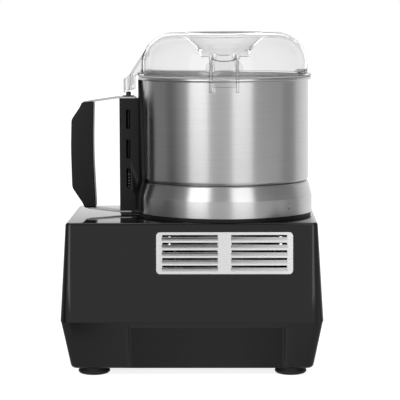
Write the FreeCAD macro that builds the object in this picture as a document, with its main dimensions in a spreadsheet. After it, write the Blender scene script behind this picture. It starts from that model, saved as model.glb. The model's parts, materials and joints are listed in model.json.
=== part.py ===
import FreeCAD, Part
import math
import os
import Sketcher

# Bench cutter mixer with a clear lid: a flared motor base, a steel bowl with a strap handle,
# an interlock rod in the handle column, a two-blade rotor and a lid with a feed funnel.
# Millimetres. The origin is on the bench in the middle of the base, +Z is up, -X is the
# operator's side with the handle and the buttons, -Y is the side with the front grille.

SIZES = (
    ("seat_gap", 0.3, "gap between neighbours that don't bear on each other"),
    ("run_gap", 0.06, "radial clearance of a running fit"),
    ("thread_gap", 0.1, "radial clearance of a screw in its thread"),
    ("axis_x", 38.6, "drive axis, from the middle of the base"),
    ("base_top_z", 181.6, "top of the base above the bench"),
    ("seam_z", 65.5, "seam between the two housings"),
    ("pan_z", 9.0, "underside of the lower housing"),
    ("seam_half_x", 154.3, "half length of the base at the seam"),
    ("seam_half_y", 111.5, "half width of the base at the seam"),
    ("upper_draft", 3.5, "lean of the upper housing's walls, degrees"),
    ("lower_draft", 11.5, "lean of the lower housing's walls, degrees"),
    ("corner_r", 14.0, "upright corners of the base at the seam"),
    ("pan_corner_r", 9.0, "upright corners of the base at its underside"),
    ("top_edge_r", 3.0, "top edge of the base"),
    ("pan_edge_r", 5.5, "bottom edge of the base"),
    ("seam_step", 0.6, "how far the upper housing overhangs the lower one"),
    ("housing_wall", 3.0, "moulded wall of both housings"),
    ("recess_left", -72.0, "hand recess of the lower housing, its left end"),
    ("recess_right", 107.0, "hand recess of the lower housing, its right end"),
    ("recess_deep", 3.5, "depth of the hand recess"),
    ("recess_slope", 7.0, "width of the hand recess's sloping sides"),
    ("recess_r", 5.0, "rounding of the hand recess"),
    ("grille_long", 159.1, "vent grille, length"),
    ("grille_high", 48.8, "vent grille, height"),
    ("grille_drop", 35.1, "middle of the vent grilles below the base top"),
    ("grille_thick", 1.6, "vent grille, sheet"),
    ("grille_r", 4.5, "vent grille, corners"),
    ("louvre_long", 65.6, "louvre length"),
    ("louvre_pitch", 8.9, "louvre spacing"),
    ("louvre_high", 6.4, "louvre height with its slot"),
    ("louvre_slot", 1.5, "height of the slot under a louvre's lip"),
    ("louvre_proud", 2.2, "how far a louvre's lip stands out"),
    ("louvre_mid", 40.3, "middle of a louvre column from the middle of the grille"),
    ("louvre_skin", 0.9, "wall of a louvre"),
    ("louvre_bow", 8.0, "curve of a louvre's outside"),
    ("window_edge", 1.5, "housing windows beyond the louvres they stand behind"),
    ("panel_wide", 92.0, "control bezel, width"),
    ("panel_high", 40.0, "control bezel, height"),
    ("panel_drop", 51.6, "middle of the control bezel below the base top"),
    ("panel_lap", 5.0, "lap of the bezel over the edge of its window"),
    ("panel_thick", 3.0, "control bezel, thickness"),
    ("panel_proud", 1.2, "how far the bezel stands out of the housing"),
    ("panel_r", 6.0, "control bezel, corners"),
    ("button_r", 9.0, "push button, radius"),
    ("button_pitch", 28.0, "push button, spacing"),
    ("button_proud", 1.6, "how far a button stands out of the bezel"),
    ("button_long", 9.0, "push button, height of its cap"),
    ("button_travel", 1.5, "push button, travel"),
    ("button_edge", 1.0, "push button, bevel of its cap"),
    ("button_flange", 1.5, "push button, width of its inner flange"),
    ("stem_r", 3.0, "push button, stem radius"),
    ("stem_long", 7.0, "push button, stem length"),
    ("foot_from_end", 38.0, "middle of a rubber foot from the base's end at the seam"),
    ("foot_from_side", 33.5, "middle of a rubber foot from the base's side at the seam"),
    ("foot_r", 18.7, "rubber foot, widest radius"),
    ("foot_neck_r", 17.0, "rubber foot, neck radius"),
    ("foot_sole_r", 14.0, "rubber foot, flat sole radius"),
    ("foot_well", 4.6, "rubber foot, depth of the screw's well"),
    ("screw_r", 2.0, "long housing screw, shank radius"),
    ("screw_head_r", 4.8, "long housing screw, head radius"),
    ("screw_head", 3.0, "long housing screw, height of its head"),
    ("screw_grip", 26.5, "long housing screw, its upper end above the seam"),
    ("post_r", 7.0, "screw post of the housings"),
    ("vent_pitch", 12.0, "floor vents, spacing"),
    ("vent_half", 2.5, "floor vents, half width"),
    ("gland_from_end", 32.3, "cable gland from the base's end at the seam"),
    ("gland_drop", 25.5, "cable gland below the seam"),
    ("gland_bore_r", 4.2, "cable gland, bore for the mains cable"),
    ("gland_thread_r", 7.8, "cable gland, thread radius"),
    ("gland_nut_r", 11.0, "cable gland, nut across its flats, half"),
    ("gland_nut_deep", 5.0, "cable gland, height of each nut"),
    ("gland_tail", 4.0, "cable gland, barrel beyond its inner nut"),
    ("boss_in", 13.4, "bowl seat's edge inside the skirt's outer face"),
    ("boss_thick", 5.0, "bowl seat flange thickness"),
    ("boss_hub_r", 27.0, "bowl seat hub"),
    ("boss_hub_up", 34.8, "bowl seat hub, its top above the base top"),
    ("boss_bore_r", 9.4, "bowl seat hub, bore round the shaft"),
    ("boss_screw_ring", 50.0, "circle of the bowl seat screws, radius"),
    ("boss_screw_r", 2.5, "bowl seat screw, shank radius"),
    ("boss_screw_head", 2.4, "bowl seat screw, height of its head"),
    ("boss_screw_long", 19.0, "bowl seat screw, length"),
    ("seal_r", 16.0, "shaft seal, outer radius"),
    ("seal_deep", 7.0, "shaft seal, height"),
    ("key_wide", 10.0, "key of the foot ring, width"),
    ("key_deep", 4.0, "key of the foot ring, depth"),
    ("shaft_r", 8.0, "motor shaft at the bowl"),
    ("shaft_seat_r", 8.5, "motor shaft in its bearings"),
    ("shaft_core_r", 10.0, "motor shaft in the rotor core"),
    ("shaft_tail_r", 5.0, "motor shaft in the fan"),
    ("shaft_up", 104.8, "motor shaft, its upper end above the base top"),
    ("shaft_edge", 1.5, "motor shaft, bevel of its upper end"),
    ("shaft_tail", 54.0, "motor shaft, its lower end below the stator"),
    ("shaft_flat", 6.4, "drive flats from the shaft's middle"),
    ("shaft_flat_up", 76.8, "drive flats, their lower end above the base top"),
    ("bearing_r", 20.0, "ball bearing, outer radius"),
    ("bearing_wide", 12.0, "ball bearing, width"),
    ("bearing_race", 3.0, "ball bearing, radial thickness of its races"),
    ("bearing_shield", 0.6, "ball bearing, how deep its shields lie"),
    ("upper_bearing_drop", 20.0, "upper bearing's underside below the base's roof"),
    ("lower_bearing_drop", 30.0, "lower bearing cup's floor below the stator"),
    ("stator_r", 57.0, "stator stack, outer radius"),
    ("stator_bore_r", 32.0, "stator stack, bore"),
    ("stator_drop", 95.6, "stator stack, its lower end below the base top"),
    ("stator_high", 58.0, "stator stack, height"),
    ("air_gap", 0.4, "air gap between rotor and stator"),
    ("tooth_count", 12, "stator slots"),
    ("slot_wide", 6.0, "stator slot, width"),
    ("slot_deep", 14.0, "stator slot, depth"),
    ("winding_r", 51.0, "winding heads, outer radius"),
    ("winding_bore_r", 35.0, "winding heads, inner radius"),
    ("winding_high", 13.0, "winding heads, height"),
    ("bell_wall", 4.0, "end bells, wall"),
    ("bell_drop", 7.0, "upper end bell's cover below the base's roof"),
    ("bell_pad_r", 6.5, "upper end bell, pads under the roof"),
    ("bell_ear_r", 5.5, "end bells, ears for the tie bolts"),
    ("bell_ear_high", 9.0, "end bells, height of their ears"),
    ("bell_vent_r", 9.0, "lower end bell, air holes"),
    ("tie_r", 2.0, "tie bolt, shank radius"),
    ("tie_head_r", 3.6, "tie bolt, head radius"),
    ("tie_head", 3.0, "tie bolt, height of its head"),
    ("core_ring", 5.0, "rotor core, depth of its end recess"),
    ("fan_r", 44.0, "cooling fan, radius"),
    ("fan_drop", 50.0, "cooling fan, its underside below the stator"),
    ("fan_disc_high", 2.0, "cooling fan, thickness of its disc"),
    ("fan_high", 14.0, "cooling fan, height"),
    ("fan_blade", 1.8, "cooling fan, blade thickness"),
    ("fan_bow", 60.0, "cooling fan, curve of its blades"),
    ("fan_count", 8, "cooling fan blades"),
    ("cap_r", 17.5, "run capacitor, radius"),
    ("cap_high", 72.0, "run capacitor, height"),
    ("cap_from_end", 76.3, "run capacitor from the base's end at the seam"),
    ("cap_from_side", 66.5, "run capacitor from the base's side at the seam"),
    ("clip_wide", 12.0, "capacitor clip, width of its band and leg"),
    ("clip_sheet", 1.5, "capacitor clip, sheet"),
    ("reed_long", 24.0, "reed switch, length"),
    ("reed_wide", 12.0, "reed switch, width"),
    ("reed_high", 7.0, "reed switch, height"),
    ("board_wide", 84.0, "control board, width"),
    ("board_high", 52.0, "control board, height"),
    ("board_thick", 1.6, "control board, thickness"),
    ("switch_half", 4.0, "switch on the control board, half its side"),
    ("switch_high", 6.0, "switch on the control board, height"),
    ("relay_high", 14.0, "relays on the control board, height"),
    ("pillar_r", 2.6, "control board pillar, radius"),
    ("pillar_in", 5.0, "control board pillar from the board's end"),
    ("pillar_rise", 11.5, "control board pillar from the panel's middle, upwards"),
    ("bowl_r", 101.0, "bowl, outer radius"),
    ("bowl_sheet", 1.2, "bowl, sheet"),
    ("bowl_up", 41.8, "bowl, underside of its floor above the base top"),
    ("bowl_high", 125.5, "bowl, height to the top of its rim"),
    ("bowl_corner_r", 4.5, "bowl, outer corner radius"),
    ("rim_out", 3.6, "bowl rim, how far its bead stands out of the wall"),
    ("rim_high", 4.0, "bowl rim, height of the bead"),
    ("rim_bead_r", 1.7, "bowl rim, rounding of the bead"),
    ("tube_bore_r", 16.5, "bowl tube, bore"),
    ("tube_high", 41.0, "bowl tube, its top above the bowl's underside"),
    ("tube_foot_r", 2.5, "bowl tube, rounding at its foot"),
    ("skirt_sheet", 1.5, "bowl skirt, sheet"),
    ("skirt_in", 0.2, "bowl skirt's top inside the bowl's radius"),
    ("skirt_out", 4.3, "bowl skirt's foot outside the bowl's radius"),
    ("skirt_top_bend_r", 2.5, "bowl skirt, bend at its top"),
    ("skirt_flare_up", 24.4, "bowl skirt, where the flare ends, above the base top"),
    ("skirt_low_up", 4.1, "bowl skirt, its lower edge above the base top"),
    ("skirt_flange", 34.8, "bowl skirt, width of its top flange"),
    ("stud_turn", -43.0, "first stud, angle from +X"),
    ("stud_up", 15.8, "studs above the base top"),
    ("stud_r", 2.4, "studs, shank radius"),
    ("stud_head_r", 3.4, "studs, head radius"),
    ("stud_head", 0.8, "studs, height of the head"),
    ("ring_up", 21.8, "foot ring, its top above the base top"),
    ("ring_wall", 5.6, "foot ring, upright wall"),
    ("ring_groove", 2.6, "foot ring, depth of the stud groove"),
    ("ring_in", 1.2, "foot ring's lower face inside the skirt's outer face"),
    ("saddle_gap", 0.05, "bond line between the saddle and the bowl"),
    ("saddle_thick", 3.6, "column saddle on the bowl wall"),
    ("saddle_turn", 38.0, "column saddle, angle round the bowl"),
    ("saddle_half", 34.5, "column saddle, half width where it starts to narrow"),
    ("saddle_narrow_up", 3.0, "column saddle, where it starts to narrow, above the bowl floor"),
    ("saddle_shoulder_half", 27.0, "column saddle, half width at its shoulder"),
    ("saddle_shoulder_drop", 37.5, "column saddle, its shoulder below the rim"),
    ("saddle_shoulder_r", 26.0, "column saddle, rounding of its shoulder"),
    ("saddle_top_half", 13.0, "column saddle, half width at its top"),
    ("saddle_top_r", 8.0, "column saddle, rounding of its top"),
    ("column_out", 26.0, "column, outer face from the bowl wall"),
    ("column_half", 13.0, "column, half width"),
    ("column_drop", 26.4, "column, its top below the rim"),
    ("column_low_up", 5.1, "column, its foot above the base top"),
    ("column_edge_r", 3.0, "column, upright edges"),
    ("rod_out", 15.4, "interlock rod from the bowl wall"),
    ("rod_r", 3.0, "interlock rod, radius"),
    ("rod_tip_r", 1.2, "interlock rod, rounding of its tip"),
    ("rod_up", 7.9, "interlock rod, its tip above the column with the lid shut"),
    ("rod_low_up", 14.3, "interlock rod, its lower end above the base top"),
    ("rod_collar_r", 4.2, "interlock rod, collar radius"),
    ("rod_collar_high", 3.0, "interlock rod, height of its collar"),
    ("magnet_high", 6.0, "magnet under the rod"),
    ("well_r", 4.8, "spring well in the column, radius"),
    ("well_low_up", 26.8, "spring well in the column, its floor above the base top"),
    ("spring_high", 23.0, "interlock spring, height with the lid shut"),
    ("spring_wire", 0.9, "interlock spring, wire"),
    ("spring_turns", 6, "interlock spring, turns"),
    ("window_wide", 5.0, "column windows, width"),
    ("window_a_drop", 13.2, "upper column window, its top below the column's"),
    ("window_a_high", 23.6, "upper column window, height"),
    ("window_b_drop", 49.3, "middle column window, its top below the column's"),
    ("window_b_high", 23.4, "middle column window, height"),
    ("window_c_drop", 84.3, "lower column window, its top below the column's"),
    ("window_c_high", 24.2, "lower column window, height"),
    ("bush_r", 7.2, "rod bush, flange radius"),
    ("bush_flange", 1.2, "rod bush, flange"),
    ("bush_long", 10.0, "rod bush, sleeve length"),
    ("strap_thick", 2.0, "handle strap, thickness"),
    ("strap_half", 10.0, "handle strap, half width"),
    ("strap_out", 68.0, "handle strap, its upright leg from the bowl wall"),
    ("strap_end_out", 6.3, "handle strap, its upper end from the bowl wall"),
    ("strap_tail_out", 12.0, "handle strap, its lower end from the bowl wall"),
    ("strap_knee_out", 29.0, "handle strap, where its legs start to slope, from the bowl wall"),
    ("strap_knee_r", 30.0, "handle strap, bend where its legs start to slope"),
    ("strap_drop", 5.6, "handle strap, fall of the upper leg"),
    ("strap_lift", 4.6, "handle strap, rise of the lower leg"),
    ("strap_bend_r", 6.0, "handle strap, bends"),
    ("grip_out", 16.6, "grip, outer face from the strap's upright leg"),
    ("grip_in", 10.4, "grip, inner face at its ends from the strap's upright leg"),
    ("grip_half", 14.0, "grip, half width"),
    ("grip_top_drop", 6.9, "grip, its top below the column's"),
    ("grip_low_up", 3.3, "grip, its underside above the column's foot"),
    ("grip_belly_r", 560.0, "grip, curve of its inner face"),
    ("grip_back_r", 1150.0, "grip, curve of its outer face"),
    ("grip_top_slope", 19.5, "grip, height of its slope at the top"),
    ("grip_low_slope", 22.5, "grip, height of its slope at the bottom"),
    ("grip_palm_round", 7.0, "grip, rounding of the palm side"),
    ("grip_finger_round", 4.0, "grip, rounding of the finger side"),
    ("grip_screw_r", 1.8, "grip screw, shank radius"),
    ("grip_screw_long", 16.0, "grip screw, length"),
    ("grip_screw_head_r", 3.6, "grip screw, head radius"),
    ("grip_screw_head", 2.0, "grip screw, height of its head"),
    ("grip_screw_sunk", 2.5, "grip screw, how deep its head lies in the finger side"),
    ("grip_screw_in", 26.0, "grip screws from the grip's ends"),
    ("strap_screw_out", 21.0, "strap screw from the bowl wall"),
    ("strap_screw_r", 2.0, "strap screw, shank radius"),
    ("strap_screw_long", 14.0, "strap screw, length"),
    ("strap_screw_head", 0.9, "strap screw, height of its head"),
    ("hub_foot_up", 2.6, "blade hub, its underside above the bowl's"),
    ("hub_flange_r", 26.0, "blade hub, flange radius"),
    ("hub_flange", 2.6, "blade hub, flange thickness"),
    ("hub_r", 21.2, "blade hub, stem radius"),
    ("hub_well_r", 19.0, "blade hub, well round the bowl tube"),
    ("hub_well_up", 2.0, "blade hub, top of the well above the bowl tube"),
    ("hub_cap", 4.0, "blade hub, its top above the shaft"),
    ("hub_end_gap", 0.5, "shaft end to the bottom of its bore in the hub"),
    ("blade_fit", 0.05, "slide fit of blades, spacer and clamp on the hub"),
    ("blade_thick", 2.4, "blades, sheet"),
    ("blade_clear", 6.0, "blade tips from the bowl wall's outside"),
    ("blade_lead_bow", 110.0, "blades, curve of the leading edge"),
    ("blade_tip_bow", 30.0, "blades, curve of the tip"),
    ("blade_back_bow", 70.0, "blades, curve of the trailing edge"),
    ("blade_root", 22.0, "blades, half width at the hub"),
    ("blade_edge", 1.6, "blades, ground bevel"),
    ("spacer_high", 20.0, "spacer between the blades"),
    ("knob_r", 25.6, "blade clamp sleeve, radius"),
    ("knob_up", 15.0, "blade clamp sleeve, its top above the hub"),
    ("knob_round", 6.0, "blade clamp sleeve, rounding of its top"),
    ("knob_notch_r", 6.0, "blade clamp sleeve, finger notches"),
    ("lid_in", 0.7, "lid dome's foot inside the bowl's radius"),
    ("lid_draft", 1.6, "lid dome, how much its wall leans in"),
    ("lid_high", 53.0, "lid, its top above the bowl's rim"),
    ("lid_shoulder_r", 38.0, "lid dome, shoulder radius"),
    ("lid_wall", 2.8, "lid, wall"),
    ("lid_seat", 1.6, "lid's underside above the bowl's rim"),
    ("lid_flange", 2.0, "lid, flange thickness"),
    ("funnel_in", 50.3, "feed funnel's mouth from the dome's foot radius"),
    ("funnel_lip_r", 8.0, "feed funnel, rounding of its mouth"),
    ("funnel_throat_r", 28.0, "feed funnel, throat radius"),
    ("funnel_throat_drop", 22.0, "feed funnel, where the throat starts, below the lid's top"),
    ("funnel_low_drop", 29.5, "feed funnel, its lower end below the lid's top"),
    ("tab_out", 9.8, "lid tabs, outer face from the bowl's rim"),
    ("tab_half", 15.5, "lid tabs, middle of each fin from the tab's middle"),
    ("tab_fin", 3.2, "lid tabs, fin thickness"),
    ("tab_wall", 3.0, "lid tabs, thickness of their sloping plate and web"),
    ("tab_tip_up", 36.4, "lid tabs, tip of their fins above the lid's underside"),
    ("tab_plate_up", 27.9, "lid tabs, top of their sloping plate above the lid's underside"),
    ("tab_knee_up", 0.6, "lid tabs, where the slope ends, above the lid's underside"),
    ("tab_web_drop", 11.6, "lid tabs, lower edge of the web below the lid's underside"),
    ("tab_leg_drop", 17.1, "lid tabs, lower end of the legs below the lid's underside"),
    ("tab_leg_deep", 6.0, "lid tabs, depth of the legs"),
    ("tab_clear", 1.2, "lid tabs, clearance round the bowl rim"),
    ("hook_out", 5.4, "interlock hook, outer face from the rod's middle"),
    ("hook_half", 9.0, "interlock hook, half width"),
    ("hook_wall", 1.6, "interlock hook, wall"),
    ("hook_roof", 4.0, "interlock hook, thickness of its roof at the tab"),
    ("hook_knee_drop", 4.6, "interlock hook, top of its outer wall below the lid's underside"),
    ("hook_low_drop", 21.0, "interlock hook, lower edge of its outer wall below the lid's underside"),
    ("cam_rise", 1.5, "interlock cam, rise over its length"),
    ("gasket_lip", 5.0, "lid seal, depth of its lip in the bowl"),
    ("gasket_lip_wall", 1.6, "lid seal, wall of its lip"),
    ("gasket_gap", 0.25, "lid seal's lip from the bowl wall"),
    ("gasket_in", 0.6, "lid seal's flange inside the rim's edge"),
)


class Size:
    """A size: its value, and the text that gives it from the sheet."""

    def __init__(self, value, text):
        self.value = float(value)
        self.text = text

    def __add__(self, other):
        other = as_size(other)
        return Size(self.value + other.value, f"({self.text} + {other.text})")

    def __radd__(self, other):
        return as_size(other) + self

    def __sub__(self, other):
        other = as_size(other)
        return Size(self.value - other.value, f"({self.text} - {other.text})")

    def __rsub__(self, other):
        return as_size(other) - self

    def __mul__(self, other):
        other = as_size(other)
        return Size(self.value * other.value, f"({self.text} * {other.text})")

    def __rmul__(self, other):
        return as_size(other) * self

    def __truediv__(self, other):
        other = as_size(other)
        return Size(self.value / other.value, f"({self.text} / {other.text})")

    def __neg__(self):
        return Size(-self.value, f"(0 - {self.text})")

    def root(self):
        return Size(math.sqrt(self.value), f"sqrt({self.text})")

    def slope(self):
        """The tangent of this angle in degrees."""
        return Size(math.tan(math.radians(self.value)), f"tan({self.text} * 1 deg)")


def as_size(item):
    if isinstance(item, Size):
        return item
    return Size(item, repr(float(item)))


class Sizes:
    """The driving sizes by name, each bound to its cell."""


d = Sizes()
doc = FreeCAD.newDocument("cutter_mixer")
sheet = doc.addObject("Spreadsheet::Sheet", "dims")
for row, (alias, value, meaning) in enumerate(SIZES, start=1):
    sheet.set(f"A{row}", meaning)
    sheet.set(f"B{row}", str(value))
    sheet.setAlias(f"B{row}", alias)
    setattr(d, alias, Size(value, f"dims.{alias}"))
doc.recompute()

FAR = 400.0     # longer than any piece, for cuts that go right through

# Sizes that follow from others: the base, the bowl on it, the handle, the blades and the lid

d.foot_x = d.seam_half_x - d.foot_from_end
d.foot_y = d.seam_half_y - d.foot_from_side
d.gland_x = d.seam_half_x - d.gland_from_end
d.gland_z = d.seam_z - d.gland_drop
d.cap_x = d.cap_from_end - d.seam_half_x
d.cap_y = d.seam_half_y - d.cap_from_side
d.screw_top_z = d.seam_z + d.screw_grip
d.grille_mid_z = d.base_top_z - d.grille_drop
d.panel_mid_z = d.base_top_z - d.panel_drop
d.roof_z = d.base_top_z - d.housing_wall
d.stator_low_z = d.base_top_z - d.stator_drop
d.stator_top_z = d.stator_low_z + d.stator_high
d.upper_bearing_z = d.roof_z - d.upper_bearing_drop
d.lower_bearing_z = d.stator_low_z - d.lower_bearing_drop
d.shaft_low_z = d.stator_low_z - d.shaft_tail
d.shaft_top_z = d.base_top_z + d.shaft_up
d.shaft_flat_z = d.base_top_z + d.shaft_flat_up
d.fan_low_z = d.stator_low_z - d.fan_drop
d.ear_ring = d.stator_r + d.tie_head_r + d.seat_gap

d.bowl_floor_z = d.base_top_z + d.bowl_up
d.rim_top_z = d.bowl_floor_z + d.bowl_high
d.rim_low_z = d.rim_top_z - d.rim_high
d.rim_r = d.bowl_r + d.rim_out
d.tube_top_z = d.bowl_floor_z + d.tube_high
d.skirt_top_r = d.bowl_r - d.skirt_in
d.skirt_r = d.bowl_r + d.skirt_out
d.skirt_flare_z = d.base_top_z + d.skirt_flare_up
d.skirt_low_z = d.base_top_z + d.skirt_low_up
d.skirt_flange_r = d.skirt_top_r - d.skirt_flange
d.boss_r = d.skirt_r - d.boss_in
d.boss_hub_z = d.base_top_z + d.boss_hub_up
d.stud_z = d.base_top_z + d.stud_up
d.ring_top_z = d.base_top_z + d.ring_up

d.saddle_narrow_z = d.bowl_floor_z + d.saddle_narrow_up
d.saddle_shoulder_z = d.rim_top_z - d.saddle_shoulder_drop
d.column_r = d.bowl_r + d.column_out
d.column_top_z = d.rim_top_z - d.column_drop
d.column_low_z = d.base_top_z + d.column_low_up
d.rod_at = d.bowl_r + d.rod_out
d.rod_top_z = d.column_top_z + d.rod_up
d.rod_low_z = d.base_top_z + d.rod_low_up
d.well_low_z = d.base_top_z + d.well_low_up
d.rod_collar_z = d.well_low_z + d.spring_high
d.strap_at = d.bowl_r + d.strap_out
d.strap_end_top = d.bowl_r + d.strap_end_out
d.strap_end_low = d.bowl_r + d.strap_tail_out
d.strap_knee = d.bowl_r + d.strap_knee_out
d.strap_screw_at = d.bowl_r + d.strap_screw_out
d.grip_r = d.strap_at + d.grip_out
d.grip_in_r = d.strap_at - d.grip_in
d.grip_top_z = d.column_top_z - d.grip_top_drop
d.grip_low_z = d.column_low_z + d.grip_low_up
d.grip_screw_high_z = d.grip_top_z - d.grip_screw_in
d.grip_screw_low_z = d.grip_low_z + d.grip_screw_in

d.hub_foot_z = d.bowl_floor_z + d.hub_foot_up
d.hub_well_z = d.tube_top_z + d.hub_well_up
d.hub_top_z = d.shaft_top_z + d.hub_cap
d.knob_top_z = d.hub_top_z + d.knob_up
d.blade_r = d.bowl_r - d.blade_clear

d.lid_r = d.bowl_r - d.lid_in
d.lid_top_z = d.rim_top_z + d.lid_high
d.lid_foot_z = d.rim_top_z + d.lid_seat
d.funnel_mouth_r = d.lid_r - d.funnel_in
d.funnel_throat_z = d.lid_top_z - d.funnel_throat_drop
d.funnel_low_z = d.lid_top_z - d.funnel_low_drop
d.tab_reach = d.rim_r + d.tab_out
d.tab_tip_z = d.lid_foot_z + d.tab_tip_up
d.tab_plate_z = d.lid_foot_z + d.tab_plate_up
d.tab_knee_z = d.lid_foot_z + d.tab_knee_up
d.tab_web_z = d.lid_foot_z - d.tab_web_drop
d.tab_leg_z = d.lid_foot_z - d.tab_leg_drop
d.hook_reach = d.rod_at + d.hook_out
d.hook_top_z = d.lid_foot_z - d.hook_knee_drop
d.hook_low_z = d.lid_foot_z - d.hook_low_drop
pieces = []


# Sketches


class Corner:
    """A corner of an outline, rounded by r, with a bowed side after it if bow is given."""

    def __init__(self, x, y, r=None, bow=None):
        self.x = as_size(x)
        self.y = as_size(y)
        self.r = None if r is None else as_size(r)
        self.bow = None if bow is None else as_size(bow)
        self.point = FreeCAD.Vector(self.x.value, self.y.value, 0)


def origin_part(body, role):
    return next(f for f in body.Origin.OriginFeatures if f.Role == role)


def sketch_on(body, name, plane, offset=None):
    """A sketch on one of the body's own planes, moved along its normal by offset."""
    sketch = body.newObject("Sketcher::SketchObject", name)
    sketch.AttachmentSupport = [(origin_part(body, plane), "")]
    sketch.MapMode = "FlatFace"
    if offset is not None:
        sketch.setExpression("AttachmentOffset.Base.z", as_size(offset).text)
    return sketch


class Rules:
    """The constraints of one outline, added to its sketch together and then bound."""

    def __init__(self, sketch):
        self.sketch = sketch
        self.constraints = []
        self.sizes = []

    def add(self, kind, *terms, size=None):
        values = terms if size is None else terms + (size.value,)
        self.constraints.append(Sketcher.Constraint(kind, *values))
        self.sizes.append(size)

    def pin(self, geometry, vertex, x, y):
        """Hold a point at x, y from the sketch's origin."""
        self.add("DistanceX", -1, 1, geometry, vertex, size=x)
        self.add("DistanceY", -1, 1, geometry, vertex, size=y)

    def apply(self):
        for index, size in zip(self.sketch.addConstraint(self.constraints), self.sizes):
            if size is not None:
                self.sketch.setExpression(f"Constraints[{index}]", size.text)


def bowed_side(start, end, radius):
    """The arc from start to end; it bulges to the right of the way for a positive radius."""
    chord = end - start
    half = chord.Length / 2
    left = FreeCAD.Vector(-chord.y, chord.x, 0).normalize()
    reach = math.sqrt(radius * radius - half * half)
    side = 1 if radius > 0 else -1
    centre = (start + end) * 0.5 + left * (reach * side)
    middle = centre - left * (abs(radius) * side)
    return Part.Arc(start, middle, end)


def draw(sketch, corners, closed=True):
    """Draw an outline of straight and bowed sides with sharp or rounded corners."""
    count = len(corners)
    sides = count if closed else count - 1
    into = [c.point for c in corners]
    out = [c.point for c in corners]
    centres = [None] * count
    lefts = [False] * count
    for i, corner in enumerate(corners):
        if corner.r is None:
            continue
        before = (corners[i - 1].point - corner.point).normalize()
        after = (corners[(i + 1) % count].point - corner.point).normalize()
        half = before.getAngle(after) / 2
        reach = corner.r.value / math.tan(half)
        into[i] = corner.point + before * reach
        out[i] = corner.point + after * reach
        middle = (before + after).normalize()
        centres[i] = corner.point + middle * (corner.r.value / math.sin(half))
        lefts[i] = before.cross(after).z < 0
    rules = Rules(sketch)
    side_ids = []
    for i in range(sides):
        start = out[i]
        end = into[(i + 1) % count]
        if corners[i].bow is None:
            side_ids.append(sketch.addGeometry(Part.LineSegment(start, end), False))
        else:
            arc = bowed_side(start, end, corners[i].bow.value)
            side_ids.append(sketch.addGeometry(arc, False))
    ends = []
    for i in range(sides):
        turned = corners[i].bow is not None and corners[i].bow.value < 0
        ends.append((2, 1) if turned else (1, 2))
        if corners[i].bow is not None:
            size = corners[i].bow
            rules.add("Radius", side_ids[i], size=Size(abs(size.value), f"abs({size.text})"))
    for i, corner in enumerate(corners):
        has_before = closed or i > 0
        has_after = closed or i < count - 1
        previous = (i - 1) % count
        if corner.r is None:
            if has_after:
                vertex = ends[i][0]
                rules.pin(side_ids[i], vertex, corner.x, corner.y)
                if has_before:
                    rules.add("Coincident", side_ids[previous], ends[previous][1],
                              side_ids[i], vertex)
            else:
                rules.pin(side_ids[previous], ends[previous][1], corner.x, corner.y)
            continue
        first, last = (into[i], out[i]) if lefts[i] else (out[i], into[i])
        centre = centres[i]
        angle_a = math.atan2(first.y - centre.y, first.x - centre.x)
        angle_b = math.atan2(last.y - centre.y, last.x - centre.x)
        circle = Part.Circle(centre, FreeCAD.Vector(0, 0, 1), corner.r.value)
        arc = sketch.addGeometry(Part.ArcOfCircle(circle, angle_a, angle_b), False)
        mark = sketch.addGeometry(Part.Point(corner.point), True)
        rules.pin(mark, 1, corner.x, corner.y)
        start_end, next_end = (1, 2) if lefts[i] else (2, 1)
        rules.add("PointOnObject", mark, 1, side_ids[previous])
        rules.add("PointOnObject", mark, 1, side_ids[i])
        rules.add("Tangent", side_ids[previous], ends[previous][1], arc, start_end)
        rules.add("Tangent", side_ids[i], ends[i][0], arc, next_end)
        rules.add("Radius", arc, size=corner.r)
    rules.apply()


def draw_circle(sketch, x, y, r):
    x, y, r = as_size(x), as_size(y), as_size(r)
    centre = FreeCAD.Vector(x.value, y.value, 0)
    circle = Part.Circle(centre, FreeCAD.Vector(0, 0, 1), r.value)
    index = sketch.addGeometry(circle, False)
    rules = Rules(sketch)
    rules.pin(index, 3, x, y)
    rules.add("Radius", index, size=r)
    rules.apply()


def box_corners(low_x, low_y, high_x, high_y, r=None):
    return [Corner(low_x, low_y, r), Corner(high_x, low_y, r),
            Corner(high_x, high_y, r), Corner(low_x, high_y, r)]


# Features


def new_body(label):
    body = doc.addObject("PartDesign::Body", label)
    body.Label = label
    body.AllowCompound = True
    pieces.append(body)
    return body


def place(body, x=None, y=None, z=None):
    for axis, size in (("x", x), ("y", y), ("z", z)):
        if size is not None:
            body.setExpression(f"Placement.Base.{axis}", as_size(size).text)


def turn(body, axis, angle):
    """Turn the body about an axis through its own origin."""
    body.Placement = FreeCAD.Placement(FreeCAD.Vector(), FreeCAD.Rotation(axis, angle.value))
    body.setExpression("Placement.Rotation.Angle", angle.text)


def feature(body, kind, name, sketch):
    item = body.newObject(f"PartDesign::{kind}", name)
    item.Profile = (sketch, [""])
    return item


def revolve(body, name, corners, offset=None):
    """A solid of revolution about the body's Z, from corners given as radius and height."""
    sketch = sketch_on(body, f"{name}_outline", "XZ_Plane", offset)
    draw(sketch, corners)
    item = feature(body, "Revolution", name, sketch)
    item.ReferenceAxis = (origin_part(body, "Z_Axis"), [""])
    item.Angle = 360
    return item


def groove(body, name, corners):
    sketch = sketch_on(body, f"{name}_outline", "XZ_Plane")
    draw(sketch, corners)
    item = feature(body, "Groove", name, sketch)
    item.ReferenceAxis = (origin_part(body, "Z_Axis"), [""])
    item.Angle = 360
    return item


def straight(body, kind, name, sketch, length, middle, back, lean):
    item = feature(body, kind, name, sketch)
    item.setExpression("Length", as_size(length).text)
    item.Midplane = middle
    item.Reversed = back
    if lean is not None:
        item.setExpression("TaperAngle", as_size(lean).text)
    return item


def pad(body, name, sketch, length, middle=False, back=False, lean=None):
    return straight(body, "Pad", name, sketch, length, middle, back, lean)


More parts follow.
